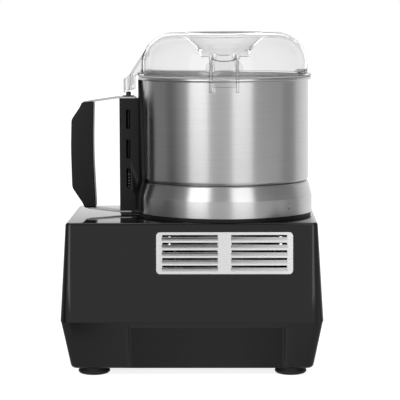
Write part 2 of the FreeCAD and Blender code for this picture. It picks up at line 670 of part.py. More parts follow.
def pocket(body, name, sketch, length, middle=False, back=False, lean=None):
    return straight(body, "Pocket", name, sketch, length, middle, back, lean)


def loft(body, name, low, high, cut=False):
    item = feature(body, "SubtractiveLoft" if cut else "AdditiveLoft", name, low)
    item.Sections = [(high, [""])]
    item.Ruled = True
    return item


def ring_of(body, name, originals, count, angle=360.0, back=False):
    """Repeat features about the body's Z."""
    item = body.newObject("PartDesign::PolarPattern", name)
    item.Originals = originals
    item.Axis = (origin_part(body, "Z_Axis"), [""])
    item.Angle = angle
    item.Reversed = back
    if isinstance(count, Size):
        item.setExpression("Occurrences", count.text)
        item.Occurrences = int(count.value)
    else:
        item.Occurrences = count
    body.Tip = item
    return item


def mirrored(body, name, originals, plane):
    item = body.newObject("PartDesign::Mirrored", name)
    item.Originals = originals
    item.MirrorPlane = (origin_part(body, plane), [""])
    body.Tip = item
    return item


def round_edges(body, name, base, size, test, kind="Fillet"):
    """Round or bevel the edges of the base feature that pass the test."""
    doc.recompute([base])
    names = []
    for number, edge in enumerate(base.Shape.Edges, start=1):
        if test(edge):
            names.append(f"Edge{number}")
    if not names:
        raise RuntimeError(f"{body.Label}: no edges for {name}")
    item = body.newObject(f"PartDesign::{kind}", name)
    item.Base = (base, names)
    item.setExpression("Radius" if kind == "Fillet" else "Size", as_size(size).text)
    return item


def level_edge(height):
    """Test for edges that lie at one height."""
    def test(edge):
        box = edge.BoundBox
        return abs(box.ZMin - height.value) < 0.01 and abs(box.ZMax - height.value) < 0.01
    return test


def rounded_plan(body, name, half_x, half_y, r, height):
    sketch = sketch_on(body, name, "XY_Plane", height)
    draw(sketch, box_corners(-half_x, -half_y, half_x, half_y, r))
    return sketch


# Base housings

def side_face_y(z):
    """Half width of the upper housing at height z."""
    return d.seam_half_y - (z - d.seam_z) * d.upper_draft.slope()


def end_face_x(z):
    """Half length of the upper housing at height z."""
    return d.seam_half_x - (z - d.seam_z) * d.upper_draft.slope()


foot_spots = ((-1, 1), (-1, -1), (1, 1), (1, -1))
diagonal = (d.boss_screw_ring * d.boss_screw_ring / 2).root()


def make_upper_housing():
    body = new_body("upper_housing")
    plan = rounded_plan(body, "seam_plan", d.seam_half_x, d.seam_half_y, d.corner_r, d.seam_z)
    block = pad(body, "flared_block", plan, d.base_top_z - d.seam_z, lean=-d.upper_draft)
    round_edges(body, "top_rounding", block, d.top_edge_r, level_edge(d.base_top_z))
    wall = d.housing_wall
    plan = rounded_plan(body, "hollow_plan", d.seam_half_x - wall, d.seam_half_y - wall,
                        d.corner_r - wall, d.seam_z)
    pocket(body, "hollow", plan, d.roof_z - d.seam_z, back=True, lean=-d.upper_draft)
    posts = sketch_on(body, "posts_plan", "XY_Plane", d.roof_z)
    pilots = sketch_on(body, "pilots_plan", "XY_Plane", d.seam_z)
    for side_x, side_y in foot_spots:
        draw_circle(posts, d.foot_x * side_x, d.foot_y * side_y, d.post_r)
    pad(body, "posts", posts, d.roof_z - d.seam_z, back=True)
    for side_x, side_y in foot_spots:
        draw_circle(pilots, d.foot_x * side_x, d.foot_y * side_y, d.screw_r + d.thread_gap)
    pocket(body, "pilots", pilots, d.screw_grip + d.screw_r, back=True)
    top = sketch_on(body, "shaft_hole_plan", "XY_Plane", d.base_top_z)
    draw_circle(top, d.axis_x, 0, d.bearing_r + d.bell_wall + d.seat_gap)
    for side_x, side_y in foot_spots:
        draw_circle(top, d.axis_x + diagonal * side_x, diagonal * side_y,
                    d.boss_screw_r + d.seat_gap)
    pocket(body, "shaft_hole", top, wall * 2)
    windows = sketch_on(body, "grille_windows_plan", "XZ_Plane")
    half_long = d.louvre_long / 2 + d.window_edge
    half_high = d.louvre_pitch * 2 + d.louvre_high / 2 + d.window_edge / 2
    for side in (-1, 1):
        middle = d.axis_x + d.louvre_mid * side
        draw(windows, box_corners(middle - half_long, d.grille_mid_z - half_high,
                                  middle + half_long, d.grille_mid_z + half_high, d.grille_r / 2))
    pocket(body, "grille_windows", windows, FAR, middle=True)
    panel = sketch_on(body, "panel_window_plan", "YZ_Plane")
    half_wide = d.panel_wide / 2 - d.panel_lap
    half_high = d.panel_high / 2 - d.panel_lap
    draw(panel, box_corners(-half_wide, d.panel_mid_z - half_high,
                            half_wide, d.panel_mid_z + half_high, d.panel_r / 2))
    pocket(body, "panel_window", panel, FAR)
    return body


def recess_plan(body, name, half_y, height):
    """The hand recess at one height: sloping ends, cut inward from the wall's face at half_y."""
    plan = sketch_on(body, name, "XY_Plane", height)
    back = half_y - d.recess_deep
    front = half_y + d.recess_deep
    spread = d.recess_slope * 2
    draw(plan, [
        Corner(d.recess_left, back, d.recess_r), Corner(d.recess_right, back, d.recess_r),
        Corner(d.recess_right + spread, front), Corner(d.recess_left - spread, front)])
    return plan


def make_lower_housing():
    body = new_body("lower_housing")
    top_x = d.seam_half_x - d.seam_step
    top_y = d.seam_half_y - d.seam_step
    deep = d.seam_z - d.pan_z
    lean = deep * d.lower_draft.slope()
    foot_y = top_y - lean
    low = rounded_plan(body, "pan_foot_plan", top_x - lean, foot_y, d.pan_corner_r, d.pan_z)
    high = rounded_plan(body, "pan_seam_plan", top_x, top_y, d.corner_r, d.seam_z)
    block = loft(body, "tapered_block", low, high)
    round_edges(body, "pan_rounding", block, d.pan_edge_r, level_edge(d.pan_z))
    shade_z = d.seam_z - d.recess_slope
    shade_y = top_y - d.recess_slope * d.lower_draft.slope()
    scoop = loft(body, "hand_recess", recess_plan(body, "recess_top", shade_y, shade_z),
                 recess_plan(body, "recess_foot", foot_y, d.pan_z), cut=True)
    shade = sketch_on(body, "recess_shade_section", "YZ_Plane", d.recess_left)
    inner_y = shade_y - d.recess_deep + d.run_gap
    outer_y = top_y + d.recess_deep
    draw(shade, [
        Corner(inner_y, shade_z - d.recess_r), Corner(outer_y, shade_z - d.recess_r),
        Corner(outer_y, d.seam_z), Corner(top_y + d.seat_gap, d.seam_z), Corner(inner_y, shade_z)])
    shade = pocket(body, "recess_shade", shade, d.recess_right - d.recess_left, back=True)
    mirrored(body, "front_recess", [scoop, shade], "XZ_Plane")
    wall = d.housing_wall
    high_x = top_x - wall
    high_y = top_y - wall - d.recess_deep
    lean = (deep - wall) * d.lower_draft.slope()
    low = rounded_plan(body, "hollow_foot_plan", high_x - lean, high_y - lean,
                       d.pan_corner_r - wall, d.pan_z + wall)
    high = rounded_plan(body, "hollow_seam_plan", high_x, high_y, d.corner_r - wall, d.seam_z)
    loft(body, "pan_hollow", low, high, cut=True)
    posts = sketch_on(body, "pan_posts_plan", "XY_Plane", d.pan_z + wall)
    holes = sketch_on(body, "pan_holes_plan", "XY_Plane", d.pan_z)
    for side_x, side_y in foot_spots:
        draw_circle(posts, d.foot_x * side_x, d.foot_y * side_y, d.post_r)
        draw_circle(holes, d.foot_x * side_x, d.foot_y * side_y, d.screw_r + d.seat_gap)
    pad(body, "pan_posts", posts, deep - wall)
    pocket(body, "pan_holes", holes, deep + wall, back=True)
    vents = sketch_on(body, "floor_vents_plan", "XY_Plane", d.pan_z)
    for step in range(-3, 4):
        across = d.vent_pitch * step
        half = (d.fan_r * d.fan_r - across * across).root() - d.vent_half
        draw(vents, box_corners(d.axis_x + across - d.vent_half, -half,
                                d.axis_x + across + d.vent_half, half, d.vent_half * 0.9))
    pocket(body, "floor_vents", vents, wall * 2, back=True)
    behind = foot_y - d.gland_nut_r
    gland = sketch_on(body, "gland_hole_plan", "XZ_Plane", -behind)
    draw_circle(gland, d.gland_x, d.gland_z, d.gland_thread_r + d.seat_gap)
    pocket(body, "gland_hole", gland, top_y - behind)
    return body


def make_foot(label, side_x, side_y):
    body = new_body(label)
    hole = d.screw_r + d.seat_gap
    well = d.screw_head_r + d.seat_gap
    revolve(body, "foot", [
        Corner(d.foot_sole_r, 0), Corner(d.foot_r - d.pan_z * 0.2, d.pan_z * 0.1),
        Corner(d.foot_r, d.pan_z * 0.3), Corner(d.foot_r, d.pan_z * 0.5),
        Corner(d.foot_neck_r, d.pan_z * 0.75), Corner(d.foot_neck_r, d.pan_z),
        Corner(hole, d.pan_z), Corner(hole, d.foot_well), Corner(well, d.foot_well),
        Corner(well, 0)])
    place(body, d.foot_x * side_x, d.foot_y * side_y)


def make_foot_screws():
    body = new_body("foot_screws")
    head_z = d.foot_well - d.screw_head
    heads = sketch_on(body, "heads_plan", "XY_Plane", head_z)
    shanks = sketch_on(body, "shanks_plan", "XY_Plane", head_z)
    drives = sketch_on(body, "drives_plan", "XY_Plane", head_z)
    reach = d.screw_head_r * 0.6
    for side_x, side_y in foot_spots:
        x = d.foot_x * side_x
        y = d.foot_y * side_y
        draw_circle(heads, x, y, d.screw_head_r)
        draw_circle(shanks, x, y, d.screw_r)
        draw(drives, box_corners(x - reach, y - d.screw_r * 0.3, x + reach, y + d.screw_r * 0.3))
    pad(body, "heads", heads, d.screw_head)
    pad(body, "shanks", shanks, d.screw_top_z - head_z)
    pocket(body, "drives", drives, d.screw_head / 2, back=True)


def make_grille(label, front):
    """The plate lies on the leaning side face; its own frame has Z along the face."""
    body = new_body(label)
    skin = d.louvre_skin
    face = d.grille_thick
    plate = sketch_on(body, "plate_plan", "XZ_Plane")
    half_long = d.grille_long / 2
    half_high = d.grille_high / 2
    draw(plate, box_corners(-half_long, -half_high, half_long, half_high, d.grille_r))
    plate_pad = pad(body, "plate", plate, face)
    round_edges(body, "plate_rounding", plate_pad, face / 2,
                lambda edge: abs(edge.BoundBox.YMin + face.value) < 0.01
                and edge.BoundBox.YLength < 0.01)
    half = d.louvre_high / 2
    lip = half - d.louvre_slot
    lowest = -(d.louvre_pitch * 2)
    start = -d.louvre_mid - d.louvre_long / 2
    outline = [Corner(-face, lowest - half, bow=-d.louvre_bow),
               Corner(-face - d.louvre_proud, lowest + lip)]
    slot = sketch_on(body, "slot_plan", "XZ_Plane")
    draw(slot, box_corners(start, lowest - half + skin * 1.6,
                           start + d.louvre_long, lowest + half))
    opening = pocket(body, "slot", slot, face * 3, middle=True)
    hood = sketch_on(body, "hood_section", "YZ_Plane", start)
    draw(hood, [Corner(0, lowest - half + skin * 1.6), Corner(0, lowest - half), *outline,
                Corner(-face - d.louvre_proud + skin, lowest + lip, bow=d.louvre_bow - skin)])
    made = [opening, pad(body, "hood", hood, d.louvre_long)]
    for word, at in (("left", start), ("right", start + d.louvre_long - skin)):
        end = sketch_on(body, f"hood_{word}_end_section", "YZ_Plane", at)
        draw(end, [Corner(0, lowest - half), *outline, Corner(0, lowest + half)])
        made.append(pad(body, f"hood_{word}_end", end, skin))
    rows = doc.addObject("PartDesign::LinearPattern", "louvre_rows")
    rows.Direction = (origin_part(body, "Z_Axis"), [""])
    rows.setExpression("Length", (d.louvre_pitch * 4).text)
    rows.Occurrences = 5
    columns = doc.addObject("PartDesign::LinearPattern", "louvre_columns")
    columns.Direction = (origin_part(body, "X_Axis"), [""])
    columns.setExpression("Length", (d.louvre_mid * 2).text)
    columns.Occurrences = 2
    louvres = body.newObject("PartDesign::MultiTransform", "louvres")
    louvres.Originals = made
    louvres.Transformations = [rows, columns]
    body.Tip = louvres
    face_y = side_face_y(d.grille_mid_z)
    yaw, place_y = (0, -face_y) if front else (180, face_y)
    body.setExpression("Placement", (
        f"placement(vector({d.axis_x.text}; {place_y.text}; {d.grille_mid_z.text}); "
        f"rotation({yaw}; 0; 0 - {d.upper_draft.text}))"))
    return body


def make_panel():
    """The bezel stands in the leaning end face; its own frame has Z along the face."""
    body = new_body("control_bezel")
    half_wide = d.panel_wide / 2
    half_high = d.panel_high / 2
    plate = sketch_on(body, "bezel_plan", "YZ_Plane")
    draw(plate, box_corners(-half_wide, -half_high, half_wide, half_high, d.panel_r))
    plate_pad = pad(body, "bezel", plate, d.panel_proud, back=True)
    tongue = sketch_on(body, "tongue_plan", "YZ_Plane")
    inset = d.panel_lap + d.seat_gap
    draw(tongue, box_corners(inset - half_wide, inset - half_high,
                             half_wide - inset, half_high - inset, d.panel_r / 2 - d.seat_gap))
    pad(body, "tongue", tongue, d.housing_wall + d.panel_thick)
    holes = sketch_on(body, "button_holes_plan", "YZ_Plane")
    for step in (-1, 0, 1):
        draw_circle(holes, d.button_pitch * step, 0, d.button_r + d.run_gap)
    pocket(body, "button_holes", holes, FAR / 4, middle=True)
    set_on_panel(body)


def set_on_panel(body):
    turn(body, FreeCAD.Vector(0, 1, 0), d.upper_draft)
    place(body, -end_face_x(d.panel_mid_z), 0, d.panel_mid_z)


def make_button(label, step):
    body = new_body(label)
    face = d.panel_proud + d.button_proud
    cap = sketch_on(body, "cap_plan", "YZ_Plane", -face)
    draw_circle(cap, d.button_pitch * step, 0, d.button_r)
    cap_pad = pad(body, "cap", cap, d.button_long)
    round_edges(body, "cap_bevel", cap_pad, d.button_edge,
                lambda edge: edge.BoundBox.XMax < 0.01 - face.value, kind="Chamfer")
    flange = sketch_on(body, "flange_plan", "YZ_Plane", d.housing_wall + d.panel_thick + d.seat_gap)
    draw_circle(flange, d.button_pitch * step, 0, d.button_r + d.button_flange)
    pad(body, "flange", flange, d.button_flange * 0.8)
    stem = sketch_on(body, "stem_plan", "YZ_Plane", d.button_long - face)
    draw_circle(stem, d.button_pitch * step, 0, d.stem_r)
    pad(body, "stem", stem, d.stem_long)
    set_on_panel(body)


def make_control_board():
    """A board behind the buttons, on pillars of the bezel, with a switch under each stem."""
    body = new_body("control_board")
    face = d.button_long - d.panel_proud - d.button_proud + d.stem_long
    switch_at = face + d.button_travel + d.seat_gap
    board_at = switch_at + d.switch_high
    board = sketch_on(body, "board_plan", "YZ_Plane", board_at)
    half_wide = d.board_wide / 2
    half_high = d.board_high / 2
    draw(board, box_corners(-half_wide, -half_high, half_wide, half_high, d.board_thick))
    pad(body, "board", board, d.board_thick)
    switches = sketch_on(body, "switches_plan", "YZ_Plane", switch_at)
    half = d.switch_half
    for step in (-1, 0, 1):
        middle = d.button_pitch * step
        draw(switches, box_corners(middle - half, -half, middle + half, half))
    pad(body, "switches", switches, d.switch_high)
    parts = sketch_on(body, "relays_plan", "YZ_Plane", board_at + d.board_thick)
    draw(parts, box_corners(-half_wide * 0.7, -half_high * 0.7, -half_wide * 0.2, half_high * 0.1))
    draw(parts, box_corners(half_wide * 0.15, -half_high * 0.6, half_wide * 0.5, half_high * 0.2))
    pad(body, "relays", parts, d.relay_high)
    bezel_back = d.housing_wall + d.panel_thick
    pillars = sketch_on(body, "pillars_plan", "YZ_Plane", bezel_back)
    for side_y, side_z in foot_spots:
        draw_circle(pillars, (half_wide - d.pillar_in) * side_y, d.pillar_rise * side_z, d.pillar_r)
    pad(body, "pillars", pillars, board_at - bezel_back)
    set_on_panel(body)


def make_capacitor():
    body = new_body("run_capacitor")
    floor_z = d.pan_z + d.housing_wall
    revolve(body, "can", [
        Corner(0, floor_z), Corner(d.cap_r, floor_z),
        Corner(d.cap_r, floor_z + d.cap_high), Corner(0, floor_z + d.cap_high)])
    tags = sketch_on(body, "tags_plan", "XY_Plane", floor_z + d.cap_high)
    for side in (-1, 1):
        middle = d.cap_r * 0.45 * side
        draw(tags, box_corners(middle - d.clip_sheet / 3, -d.clip_wide / 4,
                               middle + d.clip_sheet / 3, d.clip_wide / 4))
    pad(body, "tags", tags, d.cap_r * 0.4)
    place(body, d.cap_x, d.cap_y)
    clip = new_body("capacitor_clip")
    band_z = floor_z + d.cap_high * 0.3
    bore = d.cap_r
    outer = bore + d.clip_sheet
    half = d.clip_wide / 2
    revolve(clip, "band", [
        Corner(bore, band_z), Corner(outer, band_z),
        Corner(outer, band_z + d.clip_wide), Corner(bore, band_z + d.clip_wide)])
    near = bore + d.clip_sheet * 0.8
    ear = sketch_on(clip, "ear_plan", "XY_Plane", floor_z)
    draw(ear, box_corners(near, -half, near + d.clip_sheet, half))
    pad(clip, "leg", ear, band_z + d.clip_wide - floor_z)
    sole = sketch_on(clip, "sole_plan", "XY_Plane", floor_z)
    draw(sole, box_corners(near, -half, near + d.clip_wide, half))
    pad(clip, "sole", sole, d.clip_sheet)
    place(clip, d.cap_x, d.cap_y)


def make_reed_switch():
    body = new_body("reed_switch")
    block = sketch_on(body, "reed_plan", "XY_Plane", d.roof_z)
    at = d.axis_x - d.rod_at
    half = d.reed_wide / 2
    draw(block, box_corners(at - half, -d.reed_long / 2, at + half, d.reed_long / 2))
    pad(body, "reed_block", block, d.reed_high, back=True)


def make_cable_gland():
    """A compression gland through the rear wall of the lower housing."""
    body = new_body("cable_gland")
    top_y = d.seam_half_y - d.seam_step
    face = top_y - (d.seam_z - d.gland_z) * d.lower_draft.slope()
    lean = d.gland_nut_r * d.lower_draft.slope()
    outer = -(face + lean)
    inner = -(face - d.housing_wall - d.recess_deep - lean)
    flats = d.gland_nut_r * 2 / Size(3.0, "3").root()
    cap = sketch_on(body, "cap_nut_plan", "XZ_Plane", outer)
    nut = sketch_on(body, "inner_nut_plan", "XZ_Plane", inner)
    for plan in (cap, nut):
        hexagon = []
        for x, z in ((1, 0), (0.5, 1), (-0.5, 1), (-1, 0), (-0.5, -1), (0.5, -1)):
            hexagon.append(Corner(flats * x, d.gland_nut_r * z))
        draw(plan, hexagon)
    pad(body, "cap_nut", cap, d.gland_nut_deep, back=True)
    pad(body, "inner_nut", nut, d.gland_nut_deep)
    barrel = sketch_on(body, "barrel_plan", "XZ_Plane", outer - d.gland_nut_deep)
    draw_circle(barrel, 0, 0, d.gland_thread_r)
    pad(body, "barrel", barrel, inner - outer + d.gland_nut_deep * 2 + d.gland_tail)
    bore = sketch_on(body, "gland_bore_plan", "XZ_Plane")
    draw_circle(bore, 0, 0, d.gland_bore_r)
    pocket(body, "gland_bore", bore, FAR)
    place(body, d.gland_x, None, d.gland_z)


# Motor and bowl seat

def on_axis(body):
    place(body, d.axis_x)
    return body


def make_motor():
    wall = d.bell_wall
    stack = on_axis(new_body("motor_stator"))
    revolve(stack, "stack", [
        Corner(d.stator_bore_r, d.stator_low_z), Corner(d.stator_r, d.stator_low_z),
        Corner(d.stator_r, d.stator_top_z), Corner(d.stator_bore_r, d.stator_top_z)])
    slot = sketch_on(stack, "stator_slot_plan", "XY_Plane", d.stator_low_z)
    draw(slot, box_corners(d.stator_bore_r - 1, -d.slot_wide / 2,
                           d.stator_bore_r + d.slot_deep, d.slot_wide / 2))
    cut = pocket(stack, "stator_slot", slot, d.stator_high, back=True)
    ring_of(stack, "stator_slots", [cut], d.tooth_count)

    heads = on_axis(new_body("motor_windings"))
    low_z = d.stator_low_z - d.winding_high
    for name, start in (("lower_head", low_z), ("upper_head", d.stator_top_z)):
        end = start + d.winding_high
        revolve(heads, name, [
            Corner(d.winding_bore_r, start), Corner(d.winding_r, start),
            Corner(d.winding_r, end), Corner(d.winding_bore_r, end)])

    top = on_axis(new_body("upper_end_bell"))
    cup_z = d.upper_bearing_z
    disc_z = d.roof_z - d.bell_drop
    bearing_top = cup_z + d.bearing_wide
    lip = d.bearing_r - d.bearing_race * 2
    revolve(top, "upper_bell", [
        Corner(d.bearing_r, cup_z), Corner(d.bearing_r + wall, cup_z),
        Corner(d.bearing_r + wall, disc_z - wall), Corner(d.stator_r - wall, disc_z - wall),
        Corner(d.stator_r - wall, d.stator_top_z), Corner(d.stator_r, d.stator_top_z),
        Corner(d.stator_r, disc_z), Corner(lip, disc_z),
        Corner(lip, bearing_top), Corner(d.bearing_r, bearing_top)])
    pads = sketch_on(top, "roof_pads_plan", "XY_Plane", disc_z)
    threads = sketch_on(top, "roof_threads_plan", "XY_Plane", d.roof_z)
    for side_x, side_y in foot_spots:
        draw_circle(pads, diagonal * side_x, diagonal * side_y, d.bell_pad_r)
        draw_circle(threads, diagonal * side_x, diagonal * side_y, d.boss_screw_r + d.thread_gap)
    pad(top, "roof_pads", pads, d.bell_drop)
    pocket(top, "roof_threads", threads, d.bell_drop + wall * 2)
    bell_ears(top, d.stator_top_z)

    low = on_axis(new_body("lower_end_bell"))
    floor_z = d.lower_bearing_z
    seat_z = floor_z + wall / 2
    cup_top = seat_z + d.bearing_wide
    revolve(low, "lower_bell", [
        Corner(d.bearing_r, seat_z), Corner(d.bearing_r, cup_top),
        Corner(d.bearing_r + wall, cup_top), Corner(d.bearing_r + wall, floor_z + wall),
        Corner(d.stator_r - wall, floor_z + wall), Corner(d.stator_r - wall, d.stator_low_z),
        Corner(d.stator_r, d.stator_low_z), Corner(d.stator_r, floor_z),
        Corner(lip, floor_z), Corner(lip, seat_z)])
    vent = sketch_on(low, "bell_vent_plan", "XY_Plane", floor_z)
    draw_circle(vent, (d.bearing_r + wall + d.stator_r) / 2, 0, d.bell_vent_r)
    opening = pocket(low, "bell_vent", vent, wall * 2, back=True)
    ring_of(low, "bell_vents", [opening], 6)
    bell_ears(low, d.stator_low_z - d.bell_ear_high)

    bolts = on_axis(new_body("motor_tie_bolts"))
    shank = sketch_on(bolts, "tie_plan", "XY_Plane", d.stator_low_z - d.bell_ear_high)
    draw_circle(shank, d.ear_ring, 0, d.tie_r)
    shank_pad = pad(bolts, "tie", shank, d.stator_high + d.bell_ear_high * 2)
    head = sketch_on(bolts, "tie_head_plan", "XY_Plane", d.stator_low_z - d.bell_ear_high)
    draw_circle(head, d.ear_ring, 0, d.tie_head_r)
    head_pad = pad(bolts, "tie_head", head, d.tie_head, back=True)
    ring_of(bolts, "ties", [shank_pad, head_pad], 4)

    for label, start in (("upper_bearing", cup_z), ("lower_bearing", seat_z)):
        bearing = on_axis(new_body(label))
        bore = d.shaft_seat_r + d.run_gap
        end = start + d.bearing_wide
        shield = d.bearing_shield
        inner = bore + d.bearing_race
        outer = d.bearing_r - d.bearing_race
        revolve(bearing, "rings", [
            Corner(bore, start), Corner(inner, start), Corner(inner, start + shield),
            Corner(outer, start + shield), Corner(outer, start),
            Corner(d.bearing_r, start), Corner(d.bearing_r, end), Corner(outer, end),
            Corner(outer, end - shield), Corner(inner, end - shield),
            Corner(inner, end), Corner(bore, end)])


def bell_ears(body, low_z):
    """Four ears outside the bell wall, drilled for the tie bolts."""
    ear = sketch_on(body, "ear_plan", "XY_Plane", low_z)
    draw(ear, box_corners(d.stator_r - d.bell_wall / 2, -d.bell_ear_r, d.ear_ring + d.bell_ear_r,
                          d.bell_ear_r))
    hole = sketch_on(body, "ear_hole_plan", "XY_Plane", low_z)
    draw_circle(hole, d.ear_ring, 0, d.tie_r + d.thread_gap)
    ear_pad = pad(body, "ear", ear, d.bell_ear_high)
    ear_hole = pocket(body, "ear_hole", hole, d.bell_ear_high, back=True)
    ring_of(body, "ears", [ear_pad, ear_hole], 4)


def make_rotor():
    shaft = on_axis(new_body("motor_shaft"))
    core_low = d.stator_low_z - d.core_ring - 1
    core_top = d.stator_top_z + d.core_ring - 1
    revolve(shaft, "shaft", [
        Corner(0, d.shaft_low_z), Corner(d.shaft_tail_r, d.shaft_low_z),
        Corner(d.shaft_tail_r, d.lower_bearing_z), Corner(d.shaft_seat_r, d.lower_bearing_z),
        Corner(d.shaft_seat_r, core_low), Corner(d.shaft_core_r, core_low),
        Corner(d.shaft_core_r, core_top), Corner(d.shaft_seat_r, core_top),
        Corner(d.shaft_seat_r, d.base_top_z), Corner(d.shaft_r, d.base_top_z + 1),
        Corner(d.shaft_r, d.shaft_top_z - d.shaft_edge),
        Corner(d.shaft_r - d.shaft_edge, d.shaft_top_z),
        Corner(0, d.shaft_top_z)])
    flats = sketch_on(shaft, "drive_flats_plan", "XY_Plane", d.shaft_flat_z)
    for side in (-1, 1):
        near = d.shaft_flat * side
        far = d.shaft_core_r * side
        low, high = (near, far) if side > 0 else (far, near)
        draw(flats, box_corners(-d.shaft_core_r, low, d.shaft_core_r, high))
    pocket(shaft, "drive_flats", flats, FAR / 4, back=True)

    core = on_axis(new_body("motor_rotor"))
    outer = d.stator_bore_r - d.air_gap
    step = outer - d.core_ring
    revolve(core, "core", [
        Corner(d.shaft_core_r, core_low + 1), Corner(step, core_low + 1),
        Corner(step, d.stator_low_z - 1), Corner(outer, d.stator_low_z),
        Corner(outer, d.stator_top_z), Corner(step, d.stator_top_z + 1),
        Corner(step, core_top - 1), Corner(d.shaft_core_r, core_top - 1)])
    recess_in = d.shaft_core_r + d.core_ring
    recess_out = step - d.core_ring
    groove(core, "lower_recess", [
        Corner(recess_in, core_low), Corner(recess_out, core_low),
        Corner(recess_out, core_low + d.core_ring), Corner(recess_in, core_low + d.core_ring)])

    fan = on_axis(new_body("cooling_fan"))
    disc_top = d.fan_low_z + d.fan_disc_high
    fan_top = d.fan_low_z + d.fan_high
    hub = d.shaft_tail_r * 2
    revolve(fan, "fan_disc", [
        Corner(d.shaft_tail_r, d.fan_low_z), Corner(d.fan_r, d.fan_low_z),
        Corner(d.fan_r, disc_top), Corner(hub, disc_top),
        Corner(hub, fan_top), Corner(d.shaft_tail_r, fan_top)])
    blade = sketch_on(fan, "fan_blade_plan", "XY_Plane", disc_top)
    half = d.fan_blade / 2
    start = d.shaft_tail_r * 1.6
    end = d.fan_r - d.fan_blade
    sweep = d.fan_r * 0.18
    draw(blade, [Corner(start, -half, bow=-d.fan_bow), Corner(end, sweep - half),
                 Corner(end, sweep + half, bow=d.fan_bow), Corner(start, half)])
    blade_pad = pad(fan, "fan_blade", blade, d.fan_high - d.fan_disc_high - d.fan_blade)
    ring_of(fan, "fan_blades", [blade_pad], d.fan_count)


def make_bowl_seat():
    body = on_axis(new_body("bowl_seat"))
    flange_z = d.base_top_z + d.boss_thick
    recess_z = d.boss_hub_z - d.seal_deep
    revolve(body, "seat", [
        Corner(d.boss_bore_r, d.base_top_z), Corner(d.boss_r, d.base_top_z),
        Corner(d.boss_r, flange_z), Corner(d.boss_hub_r, flange_z, d.boss_thick),
        Corner(d.boss_hub_r - d.boss_thick / 2, d.boss_hub_z), Corner(d.seal_r, d.boss_hub_z),
        Corner(d.seal_r, recess_z), Corner(d.boss_bore_r, recess_z)])
    holes = sketch_on(body, "seat_holes_plan", "XY_Plane", flange_z)
    sinks = sketch_on(body, "seat_sinks_plan", "XY_Plane", flange_z)
    for side_x, side_y in foot_spots:
        draw_circle(holes, diagonal * side_x, diagonal * side_y, d.boss_screw_r + d.seat_gap)
        draw_circle(sinks, diagonal * side_x, diagonal * side_y, d.boss_screw_r * 2 + d.seat_gap)
    pocket(body, "seat_holes", holes, d.boss_thick)
    pocket(body, "seat_sinks", sinks, d.boss_screw_head)
    key = sketch_on(body, "keyway_plan", "XY_Plane", flange_z)
    draw(key, box_corners(d.boss_r - d.key_deep, -d.key_wide / 2,
                          d.boss_r + d.key_deep, d.key_wide / 2))
    keyway = pocket(body, "keyway", key, d.boss_thick)
    ring_of(body, "keyways", [keyway], 3)

    screws = on_axis(new_body("bowl_seat_screws"))
    shanks = sketch_on(screws, "seat_shanks_plan", "XY_Plane", flange_z)
    heads = sketch_on(screws, "seat_heads_plan", "XY_Plane", flange_z - d.boss_screw_head)
    for side_x, side_y in foot_spots:
        draw_circle(shanks, diagonal * side_x, diagonal * side_y, d.boss_screw_r)
        draw_circle(heads, diagonal * side_x, diagonal * side_y, d.boss_screw_r * 2)
    pad(screws, "seat_shanks", shanks, d.boss_screw_long, back=True)
    pad(screws, "seat_heads", heads, d.boss_screw_head)

    seal = on_axis(new_body("shaft_seal"))
    bore = d.shaft_r + d.run_gap
    revolve(seal, "lip_seal", [
        Corner(bore + 1.5, recess_z), Corner(d.seal_r, recess_z),
        Corner(d.seal_r, d.boss_hub_z), Corner(bore + 4, d.boss_hub_z),
        Corner(bore + 1.5, d.boss_hub_z - 4), Corner(bore, d.boss_hub_z - 4),
        Corner(bore, d.boss_hub_z - 5)])


# Bowl


def make_foot_ring():
    """The ring under the skirt: it is keyed to the seat and the bowl turns on it."""
    body = on_axis(new_body("foot_ring"))
    inner = d.boss_r + d.run_gap
    outer = d.skirt_r - d.skirt_sheet - d.run_gap
    groove_r = outer - d.ring_groove
    low = d.stud_z - d.stud_r - d.seat_gap
    high = d.stud_z + d.stud_r + d.seat_gap
    wall = outer - d.ring_wall
    revolve(body, "ring", [
        Corner(inner, d.base_top_z), Corner(d.skirt_r - d.ring_in, d.base_top_z),
        Corner(d.skirt_r - d.ring_in, d.skirt_low_z), Corner(outer, d.skirt_low_z),
        Corner(outer, low), Corner(groove_r, low), Corner(groove_r, high), Corner(outer, high),
        Corner(outer, d.ring_top_z), Corner(wall, d.ring_top_z),
        Corner(wall, d.base_top_z + d.boss_thick), Corner(inner, d.base_top_z + d.boss_thick)])
    key = sketch_on(body, "key_plan", "XY_Plane", d.base_top_z)
    half = d.key_wide / 2 - d.seat_gap
    draw(key, box_corners(d.boss_r - d.key_deep + d.seat_gap, -half,
                          d.boss_r + d.key_deep / 2, half))
    key_pad = pad(body, "key", key, d.boss_thick)
    ring_of(body, "keys", [key_pad], 3)


def make_bowl_shell():
    body = on_axis(new_body("bowl_shell"))
    sheet_t = d.bowl_sheet
    inner = d.bowl_r - sheet_t
    low = d.bowl_floor_z
    floor = low + sheet_t
    tube = d.tube_bore_r + sheet_t
    revolve(body, "spun_bowl", [
        Corner(d.tube_bore_r, low), Corner(d.bowl_r, low, d.bowl_corner_r),
        Corner(d.bowl_r, d.rim_low_z), Corner(d.rim_r, d.rim_low_z, d.rim_bead_r),
        Corner(d.rim_r, d.rim_top_z, d.rim_bead_r), Corner(inner, d.rim_top_z, d.rim_bead_r),
        Corner(inner, floor, d.bowl_corner_r - sheet_t), Corner(tube, floor, d.tube_foot_r),
        Corner(tube, d.tube_top_z), Corner(d.tube_bore_r, d.tube_top_z)])


